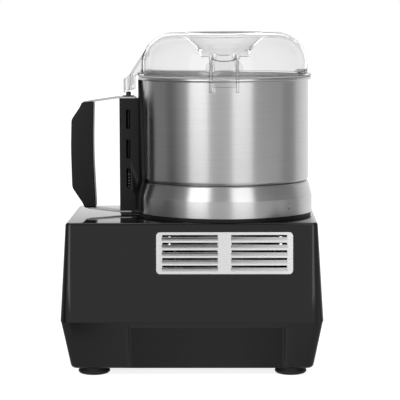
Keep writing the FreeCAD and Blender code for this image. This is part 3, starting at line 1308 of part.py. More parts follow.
def make_bowl_skirt():
    body = new_body("bowl_skirt")
    sheet_t = d.skirt_sheet
    top = d.bowl_floor_z
    flare = d.skirt_flare_z
    inner = d.skirt_r - sheet_t
    revolve(body, "skirt", [
        Corner(d.skirt_flange_r, top), Corner(d.skirt_top_r, top, d.skirt_top_bend_r),
        Corner(d.skirt_r, flare), Corner(d.skirt_r, d.skirt_low_z),
        Corner(inner, d.skirt_low_z), Corner(inner, flare),
        Corner(d.skirt_top_r - sheet_t, top - sheet_t),
        Corner(d.skirt_flange_r, top - sheet_t)])
    hole = sketch_on(body, "stud_hole_plan", "YZ_Plane", inner - d.ring_wall)
    draw_circle(hole, 0, d.stud_z, d.stud_r)
    cut = pocket(body, "stud_hole", hole, d.ring_wall * 2, back=True)
    ring_of(body, "stud_holes", [cut], 3, angle=180.0)
    turn(body, FreeCAD.Vector(0, 0, 1), d.stud_turn)
    place(body, d.axis_x)

    studs = new_body("bowl_studs")
    inner_end = inner - d.ring_groove + d.seat_gap
    shank = sketch_on(studs, "stud_plan", "YZ_Plane", inner_end)
    draw_circle(shank, 0, d.stud_z, d.stud_r)
    shank_pad = pad(studs, "stud", shank, d.skirt_r + d.stud_head - inner_end)
    head = sketch_on(studs, "stud_head_plan", "YZ_Plane", d.skirt_r)
    draw_circle(head, 0, d.stud_z, d.stud_head_r)
    head_pad = pad(studs, "stud_head", head, d.stud_head)
    ring_of(studs, "all_studs", [shank_pad, head_pad], 3, angle=180.0)
    turn(studs, FreeCAD.Vector(0, 0, 1), d.stud_turn)
    place(studs, d.axis_x)


def make_column():
    """The handle column: a saddle on the bowl wall and a post with the rod's well."""
    body = on_axis(new_body("handle_column"))
    bowl = d.bowl_r + d.saddle_gap
    skirt = d.skirt_r + d.saddle_gap
    thick = d.saddle_thick
    top = d.rim_low_z - d.seat_gap
    foot = d.column_low_z
    step_z = d.bowl_floor_z + d.saddle_narrow_up / 3
    saddle = sketch_on(body, "saddle_outline", "XZ_Plane")
    draw(saddle, [
        Corner(-bowl, top), Corner(-bowl - thick, top),
        Corner(-bowl - thick, step_z), Corner(-skirt - thick, d.skirt_flare_z),
        Corner(-skirt - thick, foot), Corner(-skirt, foot),
        Corner(-skirt, d.skirt_flare_z), Corner(-bowl, step_z)])
    arc = feature(body, "Revolution", "saddle", saddle)
    arc.ReferenceAxis = (origin_part(body, "Z_Axis"), [""])
    arc.setExpression("Angle", d.saddle_turn.text)
    arc.Midplane = True
    trim = sketch_on(body, "saddle_trim_plan", "YZ_Plane")
    wide = d.bowl_r
    narrow_z = d.saddle_narrow_z
    draw(trim, box_corners(-wide, narrow_z, wide, d.lid_top_z))
    shoulder = d.saddle_shoulder_half
    draw(trim, [
        Corner(-d.saddle_half, narrow_z + d.seat_gap), Corner(d.saddle_half, narrow_z + d.seat_gap),
        Corner(shoulder, d.saddle_shoulder_z, d.saddle_shoulder_r),
        Corner(d.saddle_top_half, top, d.saddle_top_r),
        Corner(-d.saddle_top_half, top, d.saddle_top_r),
        Corner(-shoulder, d.saddle_shoulder_z, d.saddle_shoulder_r)])
    pocket(body, "saddle_trim", trim, FAR, back=False)
    post = sketch_on(body, "post_plan", "XY_Plane", foot)
    half = d.column_half
    edge_r = d.column_edge_r
    draw(post, [
        Corner(-d.column_r, -half, edge_r), Corner(-bowl, -half),
        Corner(-bowl, half), Corner(-d.column_r, half, edge_r)])
    pad(body, "post", post, d.column_top_z - foot)
    inside = bowl - d.column_out
    under = foot - thick
    over = top + thick
    groove(body, "bowl_seat_cut", [
        Corner(inside, under), Corner(skirt, under), Corner(skirt, d.skirt_flare_z),
        Corner(bowl, step_z), Corner(bowl, over), Corner(inside, over)])
    well = sketch_on(body, "well_plan", "XY_Plane", d.column_top_z)
    draw_circle(well, -d.rod_at, 0, d.well_r)
    pocket(body, "well", well, d.column_top_z - d.well_low_z)
    bore = sketch_on(body, "rod_bore_plan", "XY_Plane", d.column_top_z)
    draw_circle(bore, -d.rod_at, 0, d.rod_r + d.run_gap)
    magnet_low = d.rod_low_z - d.magnet_high
    pocket(body, "rod_bore", bore, d.column_top_z - magnet_low + d.seat_gap)
    windows = sketch_on(body, "windows_plan", "XZ_Plane")
    half = d.window_wide / 2
    for drop, height in ((d.window_a_drop, d.window_a_high), (d.window_b_drop, d.window_b_high),
                         (d.window_c_drop, d.window_c_high)):
        high = d.column_top_z - drop
        draw(windows, box_corners(-d.rod_at - half, high - height,
                                  -d.rod_at + half, high, d.window_wide * 0.4))
    pocket(body, "windows", windows, d.column_half * 3, middle=True)
    screw = sketch_on(body, "strap_thread_plan", "XY_Plane", foot)
    draw_circle(screw, -d.strap_screw_at, 0, d.strap_screw_r + d.thread_gap)
    pocket(body, "strap_thread", screw, d.strap_screw_long, back=True)


def make_interlock():
    rod = on_axis(new_body("interlock_rod"))
    at = sketch_on(rod, "rod_plan", "XY_Plane", d.rod_low_z)
    draw_circle(at, -d.rod_at, 0, d.rod_r)
    rod_pad = pad(rod, "rod", at, d.rod_top_z - d.rod_low_z)
    round_edges(rod, "rod_tip", rod_pad, d.rod_tip_r, level_edge(d.rod_top_z))
    collar = sketch_on(rod, "collar_plan", "XY_Plane", d.rod_collar_z)
    draw_circle(collar, -d.rod_at, 0, d.rod_collar_r)
    pad(rod, "collar", collar, d.rod_collar_high)

    magnet = on_axis(new_body("rod_magnet"))
    plan = sketch_on(magnet, "magnet_plan", "XY_Plane", d.rod_low_z)
    draw_circle(plan, -d.rod_at, 0, d.rod_r)
    pad(magnet, "magnet", plan, d.magnet_high, back=True)

    bush = on_axis(new_body("rod_bush"))
    strap_top = d.column_top_z + d.strap_thick
    flange = sketch_on(bush, "bush_flange_plan", "XY_Plane", strap_top)
    draw_circle(flange, -d.rod_at, 0, d.bush_r)
    pad(bush, "bush_flange", flange, d.bush_flange)
    sleeve = sketch_on(bush, "bush_sleeve_plan", "XY_Plane", strap_top)
    draw_circle(sleeve, -d.rod_at, 0, d.well_r)
    pad(bush, "bush_sleeve", sleeve, d.bush_long, back=True)
    bore = sketch_on(bush, "bush_bore_plan", "XY_Plane")
    draw_circle(bore, -d.rod_at, 0, d.rod_r + d.run_gap)
    pocket(bush, "bush_bore", bore, FAR, back=True)

    spring = new_body("interlock_spring")
    wire = d.spring_wire
    mean_r = d.rod_collar_r - wire / 2
    low = d.well_low_z + wire / 2
    section = sketch_on(spring, "wire_section", "XZ_Plane")
    draw(section, box_corners(mean_r - wire / 2, low - wire / 2,
                              mean_r + wire / 2, low + wire / 2))
    coil = feature(spring, "AdditiveHelix", "coil", section)
    coil.ReferenceAxis = (origin_part(spring, "Z_Axis"), [""])
    coil.Mode = "height-turns-angle"
    coil.setExpression("Height", (d.rod_collar_z - d.well_low_z - wire).text)
    coil.setExpression("Turns", d.spring_turns.text)
    place(spring, d.axis_x - d.rod_at)


# Handle


def make_handle():
    strap = on_axis(new_body("handle_strap"))
    half_t = d.strap_thick / 2
    top_z = d.column_top_z + half_t
    low_z = d.column_low_z - half_t
    path = sketch_on(strap, "strap_path", "XZ_Plane")
    draw(path, [
        Corner(-d.strap_end_top, top_z), Corner(-d.strap_knee, top_z, d.strap_knee_r),
        Corner(-d.strap_at, top_z - d.strap_drop, d.strap_bend_r),
        Corner(-d.strap_at, low_z + d.strap_lift, d.strap_bend_r),
        Corner(-d.strap_knee, low_z, d.strap_knee_r), Corner(-d.strap_end_low, low_z)],
        closed=False)
    section = sketch_on(strap, "strap_section", "YZ_Plane", -d.strap_end_top)
    draw(section, box_corners(-d.strap_half, top_z - half_t, d.strap_half, top_z + half_t))
    sweep = feature(strap, "AdditivePipe", "strap", section)
    sweep.Spine = (path, [""])
    thick = d.strap_thick
    hole = sketch_on(strap, "bush_hole_plan", "XY_Plane", d.column_top_z - thick / 2)
    draw_circle(hole, -d.rod_at, 0, d.well_r)
    pocket(strap, "bush_hole", hole, thick * 2, back=True)
    sink = sketch_on(strap, "strap_screw_hole_plan", "XY_Plane", d.column_low_z + thick / 2)
    draw_circle(sink, -d.strap_screw_at, 0, d.strap_screw_r + d.thread_gap)
    pocket(strap, "strap_screw_hole", sink, thick * 2)
    counter = sketch_on(strap, "strap_screw_sink_plan", "XY_Plane", d.column_low_z - thick / 2)
    draw_circle(counter, -d.strap_screw_at, 0, d.strap_screw_r * 1.9)
    pocket(strap, "strap_screw_sink", counter, thick)
    cross = sketch_on(strap, "grip_screw_holes_plan", "YZ_Plane", thick - d.strap_at)
    for z in (d.grip_screw_high_z, d.grip_screw_low_z):
        draw_circle(cross, 0, z, d.grip_screw_r + d.seat_gap)
    pocket(strap, "grip_screw_holes", cross, thick * 2)

    split = d.strap_at - half_t
    palm = on_axis(new_body("grip_palm_shell"))
    outline = sketch_on(palm, "palm_outline", "XZ_Plane")
    outer = d.grip_r
    top = d.grip_top_z
    low = d.grip_low_z
    draw(outline, [
        Corner(-split, low), Corner(-split, top), Corner(3.8 - split - 8.0, top, 2.0),
        Corner(-split - 8.8, top - 6.4), Corner(-split - 10.4, top - 6.6, 1.0),
        Corner(-outer, top - d.grip_top_slope, bow=-d.grip_back_r), Corner(1.1 - outer, low + d.grip_low_slope),
        Corner(-split - 5.6, low + 5.2), Corner(-split - 4.6, low + 4.8),
        Corner(-split - 3.2, low, 1.5)])
    palm_pad = pad(palm, "palm", outline, d.grip_half * 2, middle=True)
    round_edges(
        palm, "palm_rounding", palm_pad, d.grip_palm_round,
        lambda edge: edge.BoundBox.YLength < 0.01 and edge.BoundBox.ZLength > 60
        and edge.BoundBox.XMin < 2 - outer.value)
    channel = sketch_on(palm, "strap_channel_plan", "XZ_Plane")
    reach = split + d.strap_thick + 0.1
    draw(channel, box_corners(-reach, low - 5, 1 - split, top + 5))
    pocket(palm, "strap_channel", channel, d.strap_half * 2 + 0.4, middle=True)
    cross = sketch_on(palm, "palm_threads_plan", "YZ_Plane", -split)
    for z in (d.grip_screw_high_z, d.grip_screw_low_z):
        draw_circle(cross, 0, z, d.grip_screw_r + d.run_gap)
    pocket(palm, "palm_threads", cross, d.grip_screw_long)

    finger = on_axis(new_body("grip_finger_shell"))
    outline = sketch_on(finger, "finger_outline", "XZ_Plane")
    under = top_z - half_t - d.strap_drop
    over = low_z + half_t + d.strap_lift
    inner = d.grip_in_r
    draw(outline, [
        Corner(-inner, over + 2.2, bow=-d.grip_belly_r), Corner(-inner, under - 0.2),
        Corner(-split, under - 1.2, d.strap_bend_r), Corner(-split, over + 1.0, d.strap_bend_r)])
    finger_pad = pad(finger, "finger", outline, d.grip_half * 2, middle=True)
    round_edges(finger, "finger_rounding", finger_pad, d.grip_finger_round,
                lambda edge: edge.BoundBox.YLength < 0.01 and edge.BoundBox.ZLength > 60
                and edge.BoundBox.XMax > -inner.value - 4)
    cross = sketch_on(finger, "finger_holes_plan", "YZ_Plane", -split)
    sinks = sketch_on(finger, "finger_sinks_plan", "YZ_Plane", -inner - d.grip_screw_sunk)
    for z in (d.grip_screw_high_z, d.grip_screw_low_z):
        draw_circle(cross, 0, z, d.grip_screw_r + d.thread_gap)
        draw_circle(sinks, 0, z, d.grip_screw_head_r + d.thread_gap)
    pocket(finger, "finger_holes", cross, d.grip_in * 2, back=True)
    pocket(finger, "finger_sinks", sinks, d.grip_in * 2, back=True)

    screws = on_axis(new_body("grip_screws"))
    shanks = sketch_on(screws, "grip_shanks_plan", "YZ_Plane", -inner - d.grip_screw_sunk)
    heads = sketch_on(screws, "grip_heads_plan", "YZ_Plane", -inner - d.grip_screw_sunk)
    for z in (d.grip_screw_high_z, d.grip_screw_low_z):
        draw_circle(shanks, 0, z, d.grip_screw_r)
        draw_circle(heads, 0, z, d.grip_screw_head_r)
    pad(screws, "grip_shanks", shanks, d.grip_screw_long, back=True)
    pad(screws, "grip_heads", heads, d.grip_screw_head)

    screw = on_axis(new_body("strap_screw"))
    face_z = d.column_low_z - d.strap_thick / 2 - d.strap_screw_head
    shank = sketch_on(screw, "strap_shank_plan", "XY_Plane", face_z)
    draw_circle(shank, -d.strap_screw_at, 0, d.strap_screw_r)
    pad(screw, "strap_shank", shank, d.strap_screw_long)
    head = sketch_on(screw, "strap_head_plan", "XY_Plane", face_z)
    draw_circle(head, -d.strap_screw_at, 0, d.strap_screw_r * 1.8)
    pad(screw, "strap_head", head, d.strap_screw_head)


# Blades


def blade_at(label, turned, low_z):
    """A sickle blade clamped by its ring; the leading edge is ground."""
    body = new_body(label)
    ring = sketch_on(body, "blade_ring_plan", "XY_Plane", low_z)
    draw_circle(ring, 0, 0, d.hub_flange_r)
    pad(body, "blade_ring", ring, d.blade_thick)
    wing = sketch_on(body, "wing_plan", "XY_Plane", low_z)
    root = d.blade_root
    draw(wing, [
        Corner(root * 0.36, -root, bow=d.blade_lead_bow),
        Corner(d.blade_r * 0.97, root * 0.73, bow=-d.blade_tip_bow),
        Corner(d.blade_r * 0.9, root * 1.3, bow=-d.blade_back_bow), Corner(root * 0.36, root)])
    wing_pad = pad(body, "wing", wing, d.blade_thick)
    hole = sketch_on(body, "blade_hole_plan", "XY_Plane", low_z)
    draw_circle(hole, 0, 0, d.hub_r + d.blade_fit)
    cut = pocket(body, "blade_hole", hole, d.blade_thick, back=True)
    top_z = low_z + d.blade_thick
    round_edges(body, "ground_edge", cut, d.blade_edge,
                lambda edge: level_edge(top_z)(edge) and edge.BoundBox.XMax > root.value * 2.7
                and edge.BoundBox.XMin > root.value / 2 and edge.BoundBox.XLength > root.value * 1.8
                and edge.BoundBox.YMin < 0, kind="Chamfer")
    if turned:
        body.Placement = FreeCAD.Placement(
            FreeCAD.Vector(), FreeCAD.Rotation(FreeCAD.Vector(0, 0, 1), 180))
    place(body, d.axis_x)


def make_blades():
    lower_z = d.hub_foot_z + d.hub_flange
    spacer_z = lower_z + d.blade_thick
    upper_z = spacer_z + d.spacer_high
    clamp_z = upper_z + d.blade_thick
    hub = on_axis(new_body("blade_hub"))
    revolve(hub, "hub", [
        Corner(d.hub_well_r, d.hub_foot_z), Corner(d.hub_flange_r, d.hub_foot_z),
        Corner(d.hub_flange_r, lower_z), Corner(d.hub_r, lower_z), Corner(d.hub_r, d.hub_top_z),
        Corner(0, d.hub_top_z), Corner(0, d.hub_well_z), Corner(d.hub_well_r, d.hub_well_z)])
    bore = sketch_on(hub, "hub_bore_plan", "XY_Plane", d.hub_well_z)
    bore_r = d.shaft_r + d.run_gap
    flat = d.shaft_flat + d.run_gap
    reach = (bore_r * bore_r - flat * flat).root()
    draw(bore, [Corner(reach, flat), Corner(-reach, flat, bow=bore_r),
                Corner(-reach, -flat), Corner(reach, -flat, bow=bore_r)])
    pocket(hub, "hub_bore", bore, d.shaft_top_z - d.hub_well_z + d.hub_end_gap, back=True)

    blade_at("lower_blade", False, lower_z)
    blade_at("upper_blade", True, upper_z)

    spacer = on_axis(new_body("blade_spacer"))
    inner = d.hub_r + d.blade_fit
    revolve(spacer, "spacer", [
        Corner(inner, spacer_z), Corner(d.knob_r, spacer_z),
        Corner(d.knob_r, upper_z), Corner(inner, upper_z)])

    knob = on_axis(new_body("blade_clamp"))
    revolve(knob, "clamp", [
        Corner(inner, clamp_z), Corner(d.knob_r, clamp_z),
        Corner(d.knob_r * 0.9, d.knob_top_z, d.knob_round),
        Corner(0, d.knob_top_z), Corner(0, d.hub_top_z), Corner(inner, d.hub_top_z)])
    notch = sketch_on(knob, "finger_notch_plan", "XY_Plane", d.knob_top_z)
    draw_circle(notch, d.knob_r + d.knob_notch_r * 0.6, 0, d.knob_notch_r)
    cut = pocket(knob, "finger_notch", notch, d.knob_up)
    ring_of(knob, "finger_notches", [cut], 6)


# Lid


def make_seal():
    body = on_axis(new_body("lid_seal"))
    rim = d.bowl_r - d.bowl_sheet - d.gasket_gap
    inner = rim - d.gasket_lip_wall
    revolve(body, "gasket", [
        Corner(inner, d.rim_top_z - d.gasket_lip), Corner(rim, d.rim_top_z - d.gasket_lip),
        Corner(rim, d.rim_top_z), Corner(d.rim_r - d.gasket_in, d.rim_top_z),
        Corner(d.rim_r - d.gasket_in, d.lid_foot_z), Corner(inner, d.lid_foot_z)])


def make_lid():
    body = on_axis(new_body("lid"))
    wall = d.lid_wall
    top = d.lid_top_z
    foot = d.lid_foot_z
    flange_top = foot + d.lid_flange
    crown = d.lid_r - d.lid_draft
    throat = d.funnel_throat_r
    slant = wall * 0.43
    revolve(body, "dome", [
        Corner(d.lid_r - wall, foot), Corner(d.rim_r, foot), Corner(d.rim_r, flange_top),
        Corner(d.lid_r, flange_top), Corner(crown, top, d.lid_shoulder_r),
        Corner(d.funnel_mouth_r, top, d.funnel_lip_r), Corner(throat, d.funnel_throat_z),
        Corner(throat, d.funnel_low_z), Corner(throat + wall, d.funnel_low_z),
        Corner(throat + wall, d.funnel_throat_z - slant),
        Corner(d.funnel_mouth_r + slant, top - wall, d.funnel_lip_r + wall),
        Corner(crown - wall, top - wall, d.lid_shoulder_r - wall)])
    make_tabs(body, crown)
    make_hook(body)


def make_tabs(body, crown):
    """Three tabs over the rim: two fins, and a sloping plate between them that ends in a web."""
    reach = d.tab_reach
    foot = d.lid_foot_z
    middle = d.lid_wall / 2
    shoulder = d.lid_shoulder_r
    shoulder_z = d.lid_top_z - shoulder

    def dome_r(height):
        """The dome's outer radius on its shoulder."""
        rise = height - shoulder_z
        return crown - shoulder + (shoulder * shoulder - rise * rise).root()

    tip_r = dome_r(d.tab_tip_z)
    slope = (reach - tip_r) / (d.tab_tip_z - d.tab_knee_z)
    plate_r = reach - slope * (d.tab_plate_z - d.tab_knee_z)
    wall = d.tab_wall
    root_z = d.tab_knee_z + (reach - wall - d.lid_r + middle) / slope
    leg_in = reach - d.tab_leg_deep
    rim_clear = d.rim_r + d.tab_clear
    made = []
    for word, side in (("left", -1), ("right", 1)):
        fin = sketch_on(body, f"{word}_fin_plan", "YZ_Plane", d.tab_half * side - d.tab_fin / 2)
        draw(fin, [
            Corner(middle - d.lid_r, foot), Corner(middle - crown, shoulder_z),
            Corner(middle - tip_r, d.tab_tip_z), Corner(-tip_r, d.tab_tip_z),
            Corner(-reach, d.tab_knee_z), Corner(-reach, d.tab_leg_z), Corner(-leg_in, d.tab_leg_z),
            Corner(-leg_in, foot - d.tab_clear), Corner(-rim_clear, foot)])
        made.append(pad(body, f"{word}_fin", fin, d.tab_fin))
    plate = sketch_on(body, "tab_plate_section", "YZ_Plane")
    draw(plate, [
        Corner(middle - dome_r(d.tab_plate_z), d.tab_plate_z), Corner(-plate_r, d.tab_plate_z),
        Corner(-reach, d.tab_knee_z), Corner(-reach, d.tab_web_z), Corner(wall - reach, d.tab_web_z),
        Corner(wall - reach, d.tab_knee_z), Corner(middle - d.lid_r, root_z)])
    made.append(pad(body, "tab_plate", plate, d.tab_half * 2, middle=True))
    ring_of(body, "tabs", made, 3, angle=180.0, back=True)


def make_hook(body):
    """The hook on the handle side: a roof, an outer wall, one side wall and the cam rib."""
    wall = d.hook_wall
    reach = d.tab_reach
    far = d.hook_reach
    top = d.lid_foot_z + d.lid_flange
    joined = d.tab_wall / 2 - reach
    under = top - d.hook_roof
    roof = sketch_on(body, "hook_roof_section", "XZ_Plane")
    draw(roof, [
        Corner(joined, top - d.hook_wall), Corner(-reach, top - d.hook_wall),
        Corner(-far, d.hook_top_z), Corner(-far, d.hook_low_z), Corner(wall - far, d.hook_low_z),
        Corner(wall - far, d.hook_top_z - wall), Corner(-reach, under), Corner(joined, under)])
    pad(body, "hook_roof", roof, d.hook_half * 2, middle=True)
    cheek = sketch_on(body, "hook_cheek_plan", "XZ_Plane", -d.hook_half)
    over_rod = d.rod_top_z + d.hook_wall
    draw(cheek, [
        Corner(joined, top - wall), Corner(-reach, top - wall), Corner(wall / 3 - far, d.hook_top_z),
        Corner(wall / 3 - far, over_rod), Corner(joined, over_rod)])
    pad(body, "hook_cheek", cheek, wall)
    rib = sketch_on(body, "cam_plan", "YZ_Plane", -d.rod_at - wall / 2)
    touch = d.rod_top_z + d.seat_gap
    draw(rib, [
        Corner(d.hook_half, d.hook_top_z), Corner(-d.hook_half, d.hook_top_z),
        Corner(-d.hook_half, touch + d.cam_rise), Corner(d.rod_r, touch),
        Corner(d.hook_half, touch)])
    pad(body, "cam", rib, wall)


make_upper_housing()
make_lower_housing()
for spot, word in zip(foot_spots, ("front_left", "front_right", "back_left", "back_right")):
    make_foot(f"foot_{word}", *spot)
make_foot_screws()
make_grille("vent_grille_front", True)
make_grille("vent_grille_rear", False)
make_panel()
make_button("start_button", 1)
make_button("stop_button", 0)
make_button("pulse_button", -1)
make_control_board()
make_capacitor()
make_reed_switch()
make_cable_gland()
make_motor()
make_rotor()
make_bowl_seat()
make_foot_ring()
make_bowl_shell()
make_bowl_skirt()
make_column()
make_interlock()
make_handle()
make_blades()
make_seal()
make_lid()


def finish():
    doc.recompute()
    faults = []
    for item in doc.Objects:
        if "Invalid" in item.State or "Error" in item.State:
            faults.append(f"{item.Label}: {item.State}")
    for piece in pieces:
        if piece.Shape.isNull() or not piece.Shape.isValid():
            faults.append(f"{piece.Label}: shape not valid")
    if faults:
        raise RuntimeError("; ".join(faults))
    os.makedirs("parts", exist_ok=True)
    for piece in pieces:
        piece.Shape.exportStep(f"parts/{piece.Label}.step")


finish()
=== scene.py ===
"""Cutter mixer in its studio: the CAD frame is dressed with finished pieces and materials."""

import json
import logging
import math
from dataclasses import dataclass
from enum import Enum
from typing import Mapping, Optional, Sequence, Union

import bmesh
import bpy
from mathutils import Matrix, Vector


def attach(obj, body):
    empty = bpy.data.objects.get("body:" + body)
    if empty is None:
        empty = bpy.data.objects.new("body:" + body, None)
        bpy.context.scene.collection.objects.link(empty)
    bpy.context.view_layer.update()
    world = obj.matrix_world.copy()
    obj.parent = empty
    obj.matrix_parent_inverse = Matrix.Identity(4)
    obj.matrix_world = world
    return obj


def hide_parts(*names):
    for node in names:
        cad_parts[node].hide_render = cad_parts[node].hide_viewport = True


LOG = logging.getLogger("cutter_mixer")
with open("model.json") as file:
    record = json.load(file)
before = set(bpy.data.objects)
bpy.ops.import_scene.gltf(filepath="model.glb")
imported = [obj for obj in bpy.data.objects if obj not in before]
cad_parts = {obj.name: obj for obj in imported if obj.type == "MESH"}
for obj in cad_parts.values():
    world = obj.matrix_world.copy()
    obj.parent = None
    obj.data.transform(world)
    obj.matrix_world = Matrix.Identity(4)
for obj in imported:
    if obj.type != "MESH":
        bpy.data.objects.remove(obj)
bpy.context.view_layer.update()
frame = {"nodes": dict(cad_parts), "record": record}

# The drive axis, and a millimetre, in metres
AXIS_X = 0.0386
MM = 0.001

# Vertices nearer than this are one, and a length below the second counts as none
WELD = 1e-6
TINY = 1e-7

# How much longer a brush line is than wide, straight and round the axis
STRETCH = 40.0
ROUND_STRETCH = 0.004

Value = Union[float, int, str, tuple, bool]
Link = Union[Value, bpy.types.NodeSocket]


def linear(colour: str) -> tuple[float, float, float, float]:
    """Turns an sRGB hex colour into the linear values that shaders take.

    Args:
        colour: Six hex digits.

    Returns:
        Linear red, green, blue and an alpha of one.
    """
    parts = []
    for start in (0, 2, 4):
        value = int(colour[start:start + 2], 16) / 255.0
        parts.append(value / 12.92 if value <= 0.04045 else ((value + 0.055) / 1.055) ** 2.4)
    return parts[0], parts[1], parts[2], 1.0


def add_node(
    tree: bpy.types.NodeTree,
    kind: str,
    settings: Optional[Mapping[str, Value]] = None,
    inputs: Optional[Mapping[Union[str, int], Link]] = None,
) -> bpy.types.Node:
    """Adds one node to a tree, with its settings and links.

    Args:
        tree: The node tree.
        kind: The node's type.
        settings: Attributes of the node.
        inputs: Values or sockets by input name or number.

    Returns:
        The node.
    """
    node = tree.nodes.new(kind)
    for name, value in (settings or {}).items():
        setattr(node, name, value)
    for name, value in (inputs or {}).items():
        if isinstance(value, bpy.types.NodeSocket):
            tree.links.new(value, node.inputs[name])
        else:
            node.inputs[name].default_value = value
    return node


class Lay(Enum):
    """The way that brush lines or a pattern's stretch run on a piece."""

    AROUND = (1.0, 1.0, STRETCH)
    ALONG_X = (1.0, STRETCH, STRETCH)
    ALONG_Y = (STRETCH, 1.0, STRETCH)
    ALONG_Z = (STRETCH, STRETCH, 1.0)


def start_material(name: str) -> tuple[bpy.types.Material, bpy.types.NodeTree]:
    """Makes an empty node material.

    Args:
        name: The material's name.

    Returns:
        The material and its node tree.
    """
    material = bpy.data.materials.new(name)
    material.use_nodes = True
    material.node_tree.nodes.clear()
    return material, material.node_tree


def object_place(tree: bpy.types.NodeTree) -> bpy.types.NodeSocket:
    """Object coordinates measured from the drive axis.

    Args:
        tree: The node tree.

    Returns:
        The coordinate socket.
    """
    place = add_node(tree, "ShaderNodeTexCoord")
    centred = add_node(tree, "ShaderNodeMapping", {}, {
        "Vector": place.outputs["Object"], "Location": (-AXIS_X, 0.0, 0.0)})
    return centred.outputs["Vector"]


def tinted(
    tree: bpy.types.NodeTree, colour: str, swing: float, factor: bpy.types.NodeSocket,
) -> bpy.types.NodeSocket:
    """A colour that goes darker and lighter with a pattern.

    Args:
        tree: The node tree.
        colour: Six hex digits.
        swing: The share by which it goes darker and lighter.
        factor: The pattern's socket.

    Returns:
        The colour socket.
    """
    base = linear(colour)[:3]
    mix = add_node(tree, "ShaderNodeMix", {"data_type": "RGBA"}, {
        "Factor": factor, 6: tuple(c * (1.0 - swing) for c in base) + (1.0,),
        7: tuple(min(c * (1.0 + swing), 1.0) for c in base) + (1.0,)})
    return mix.outputs[2]


@dataclass(frozen=True)
class MouldedPlastic:
    """Injection-moulded plastic: a faint orange peel and patches of slightly duller gloss."""

    name: str
    colour: str
    roughness: float = 0.3
    grain_mm: float = 1.2
    relief_mm: float = 0.02
    ior: float = 1.5
    patch: float = 0.06
    edge_mm: float = 0.45
    swing: float = 0.12

    def make(self) -> bpy.types.Material:
        """Builds the material.

        Returns:
            The material.
        """
        material, tree = start_material(self.name)
        place = object_place(tree)
        cloud = add_node(tree, "ShaderNodeTexNoise", {}, {
            "Vector": place, "Scale": 22.0, "Detail": 4.0, "Roughness": 0.6})
        dull = add_node(tree, "ShaderNodeMapRange", {}, {
            "Value": cloud.outputs["Fac"], 1: 0.3, 2: 0.7,
            3: self.roughness, 4: self.roughness + self.patch})
        tint = tinted(tree, self.colour, self.swing, cloud.outputs["Fac"])
        grain = add_node(tree, "ShaderNodeTexNoise", {}, {
            "Vector": place, "Scale": 1.0 / (self.grain_mm * MM), "Detail": 2.0})
        edge = add_node(tree, "ShaderNodeBevel", {"samples": 6}, {"Radius": self.edge_mm * MM})
        relief = add_node(tree, "ShaderNodeBump", {}, {
            "Height": grain.outputs["Fac"], "Distance": self.relief_mm * MM, "Strength": 0.6,
            "Normal": edge.outputs["Normal"]})
        shader = add_node(tree, "ShaderNodeBsdfPrincipled", {}, {
            "Base Color": tint, "Roughness": dull.outputs["Result"],
            "IOR": self.ior, "Normal": relief.outputs["Normal"]})
        add_node(tree, "ShaderNodeOutputMaterial", {}, {"Surface": shader.outputs["BSDF"]})
        return material


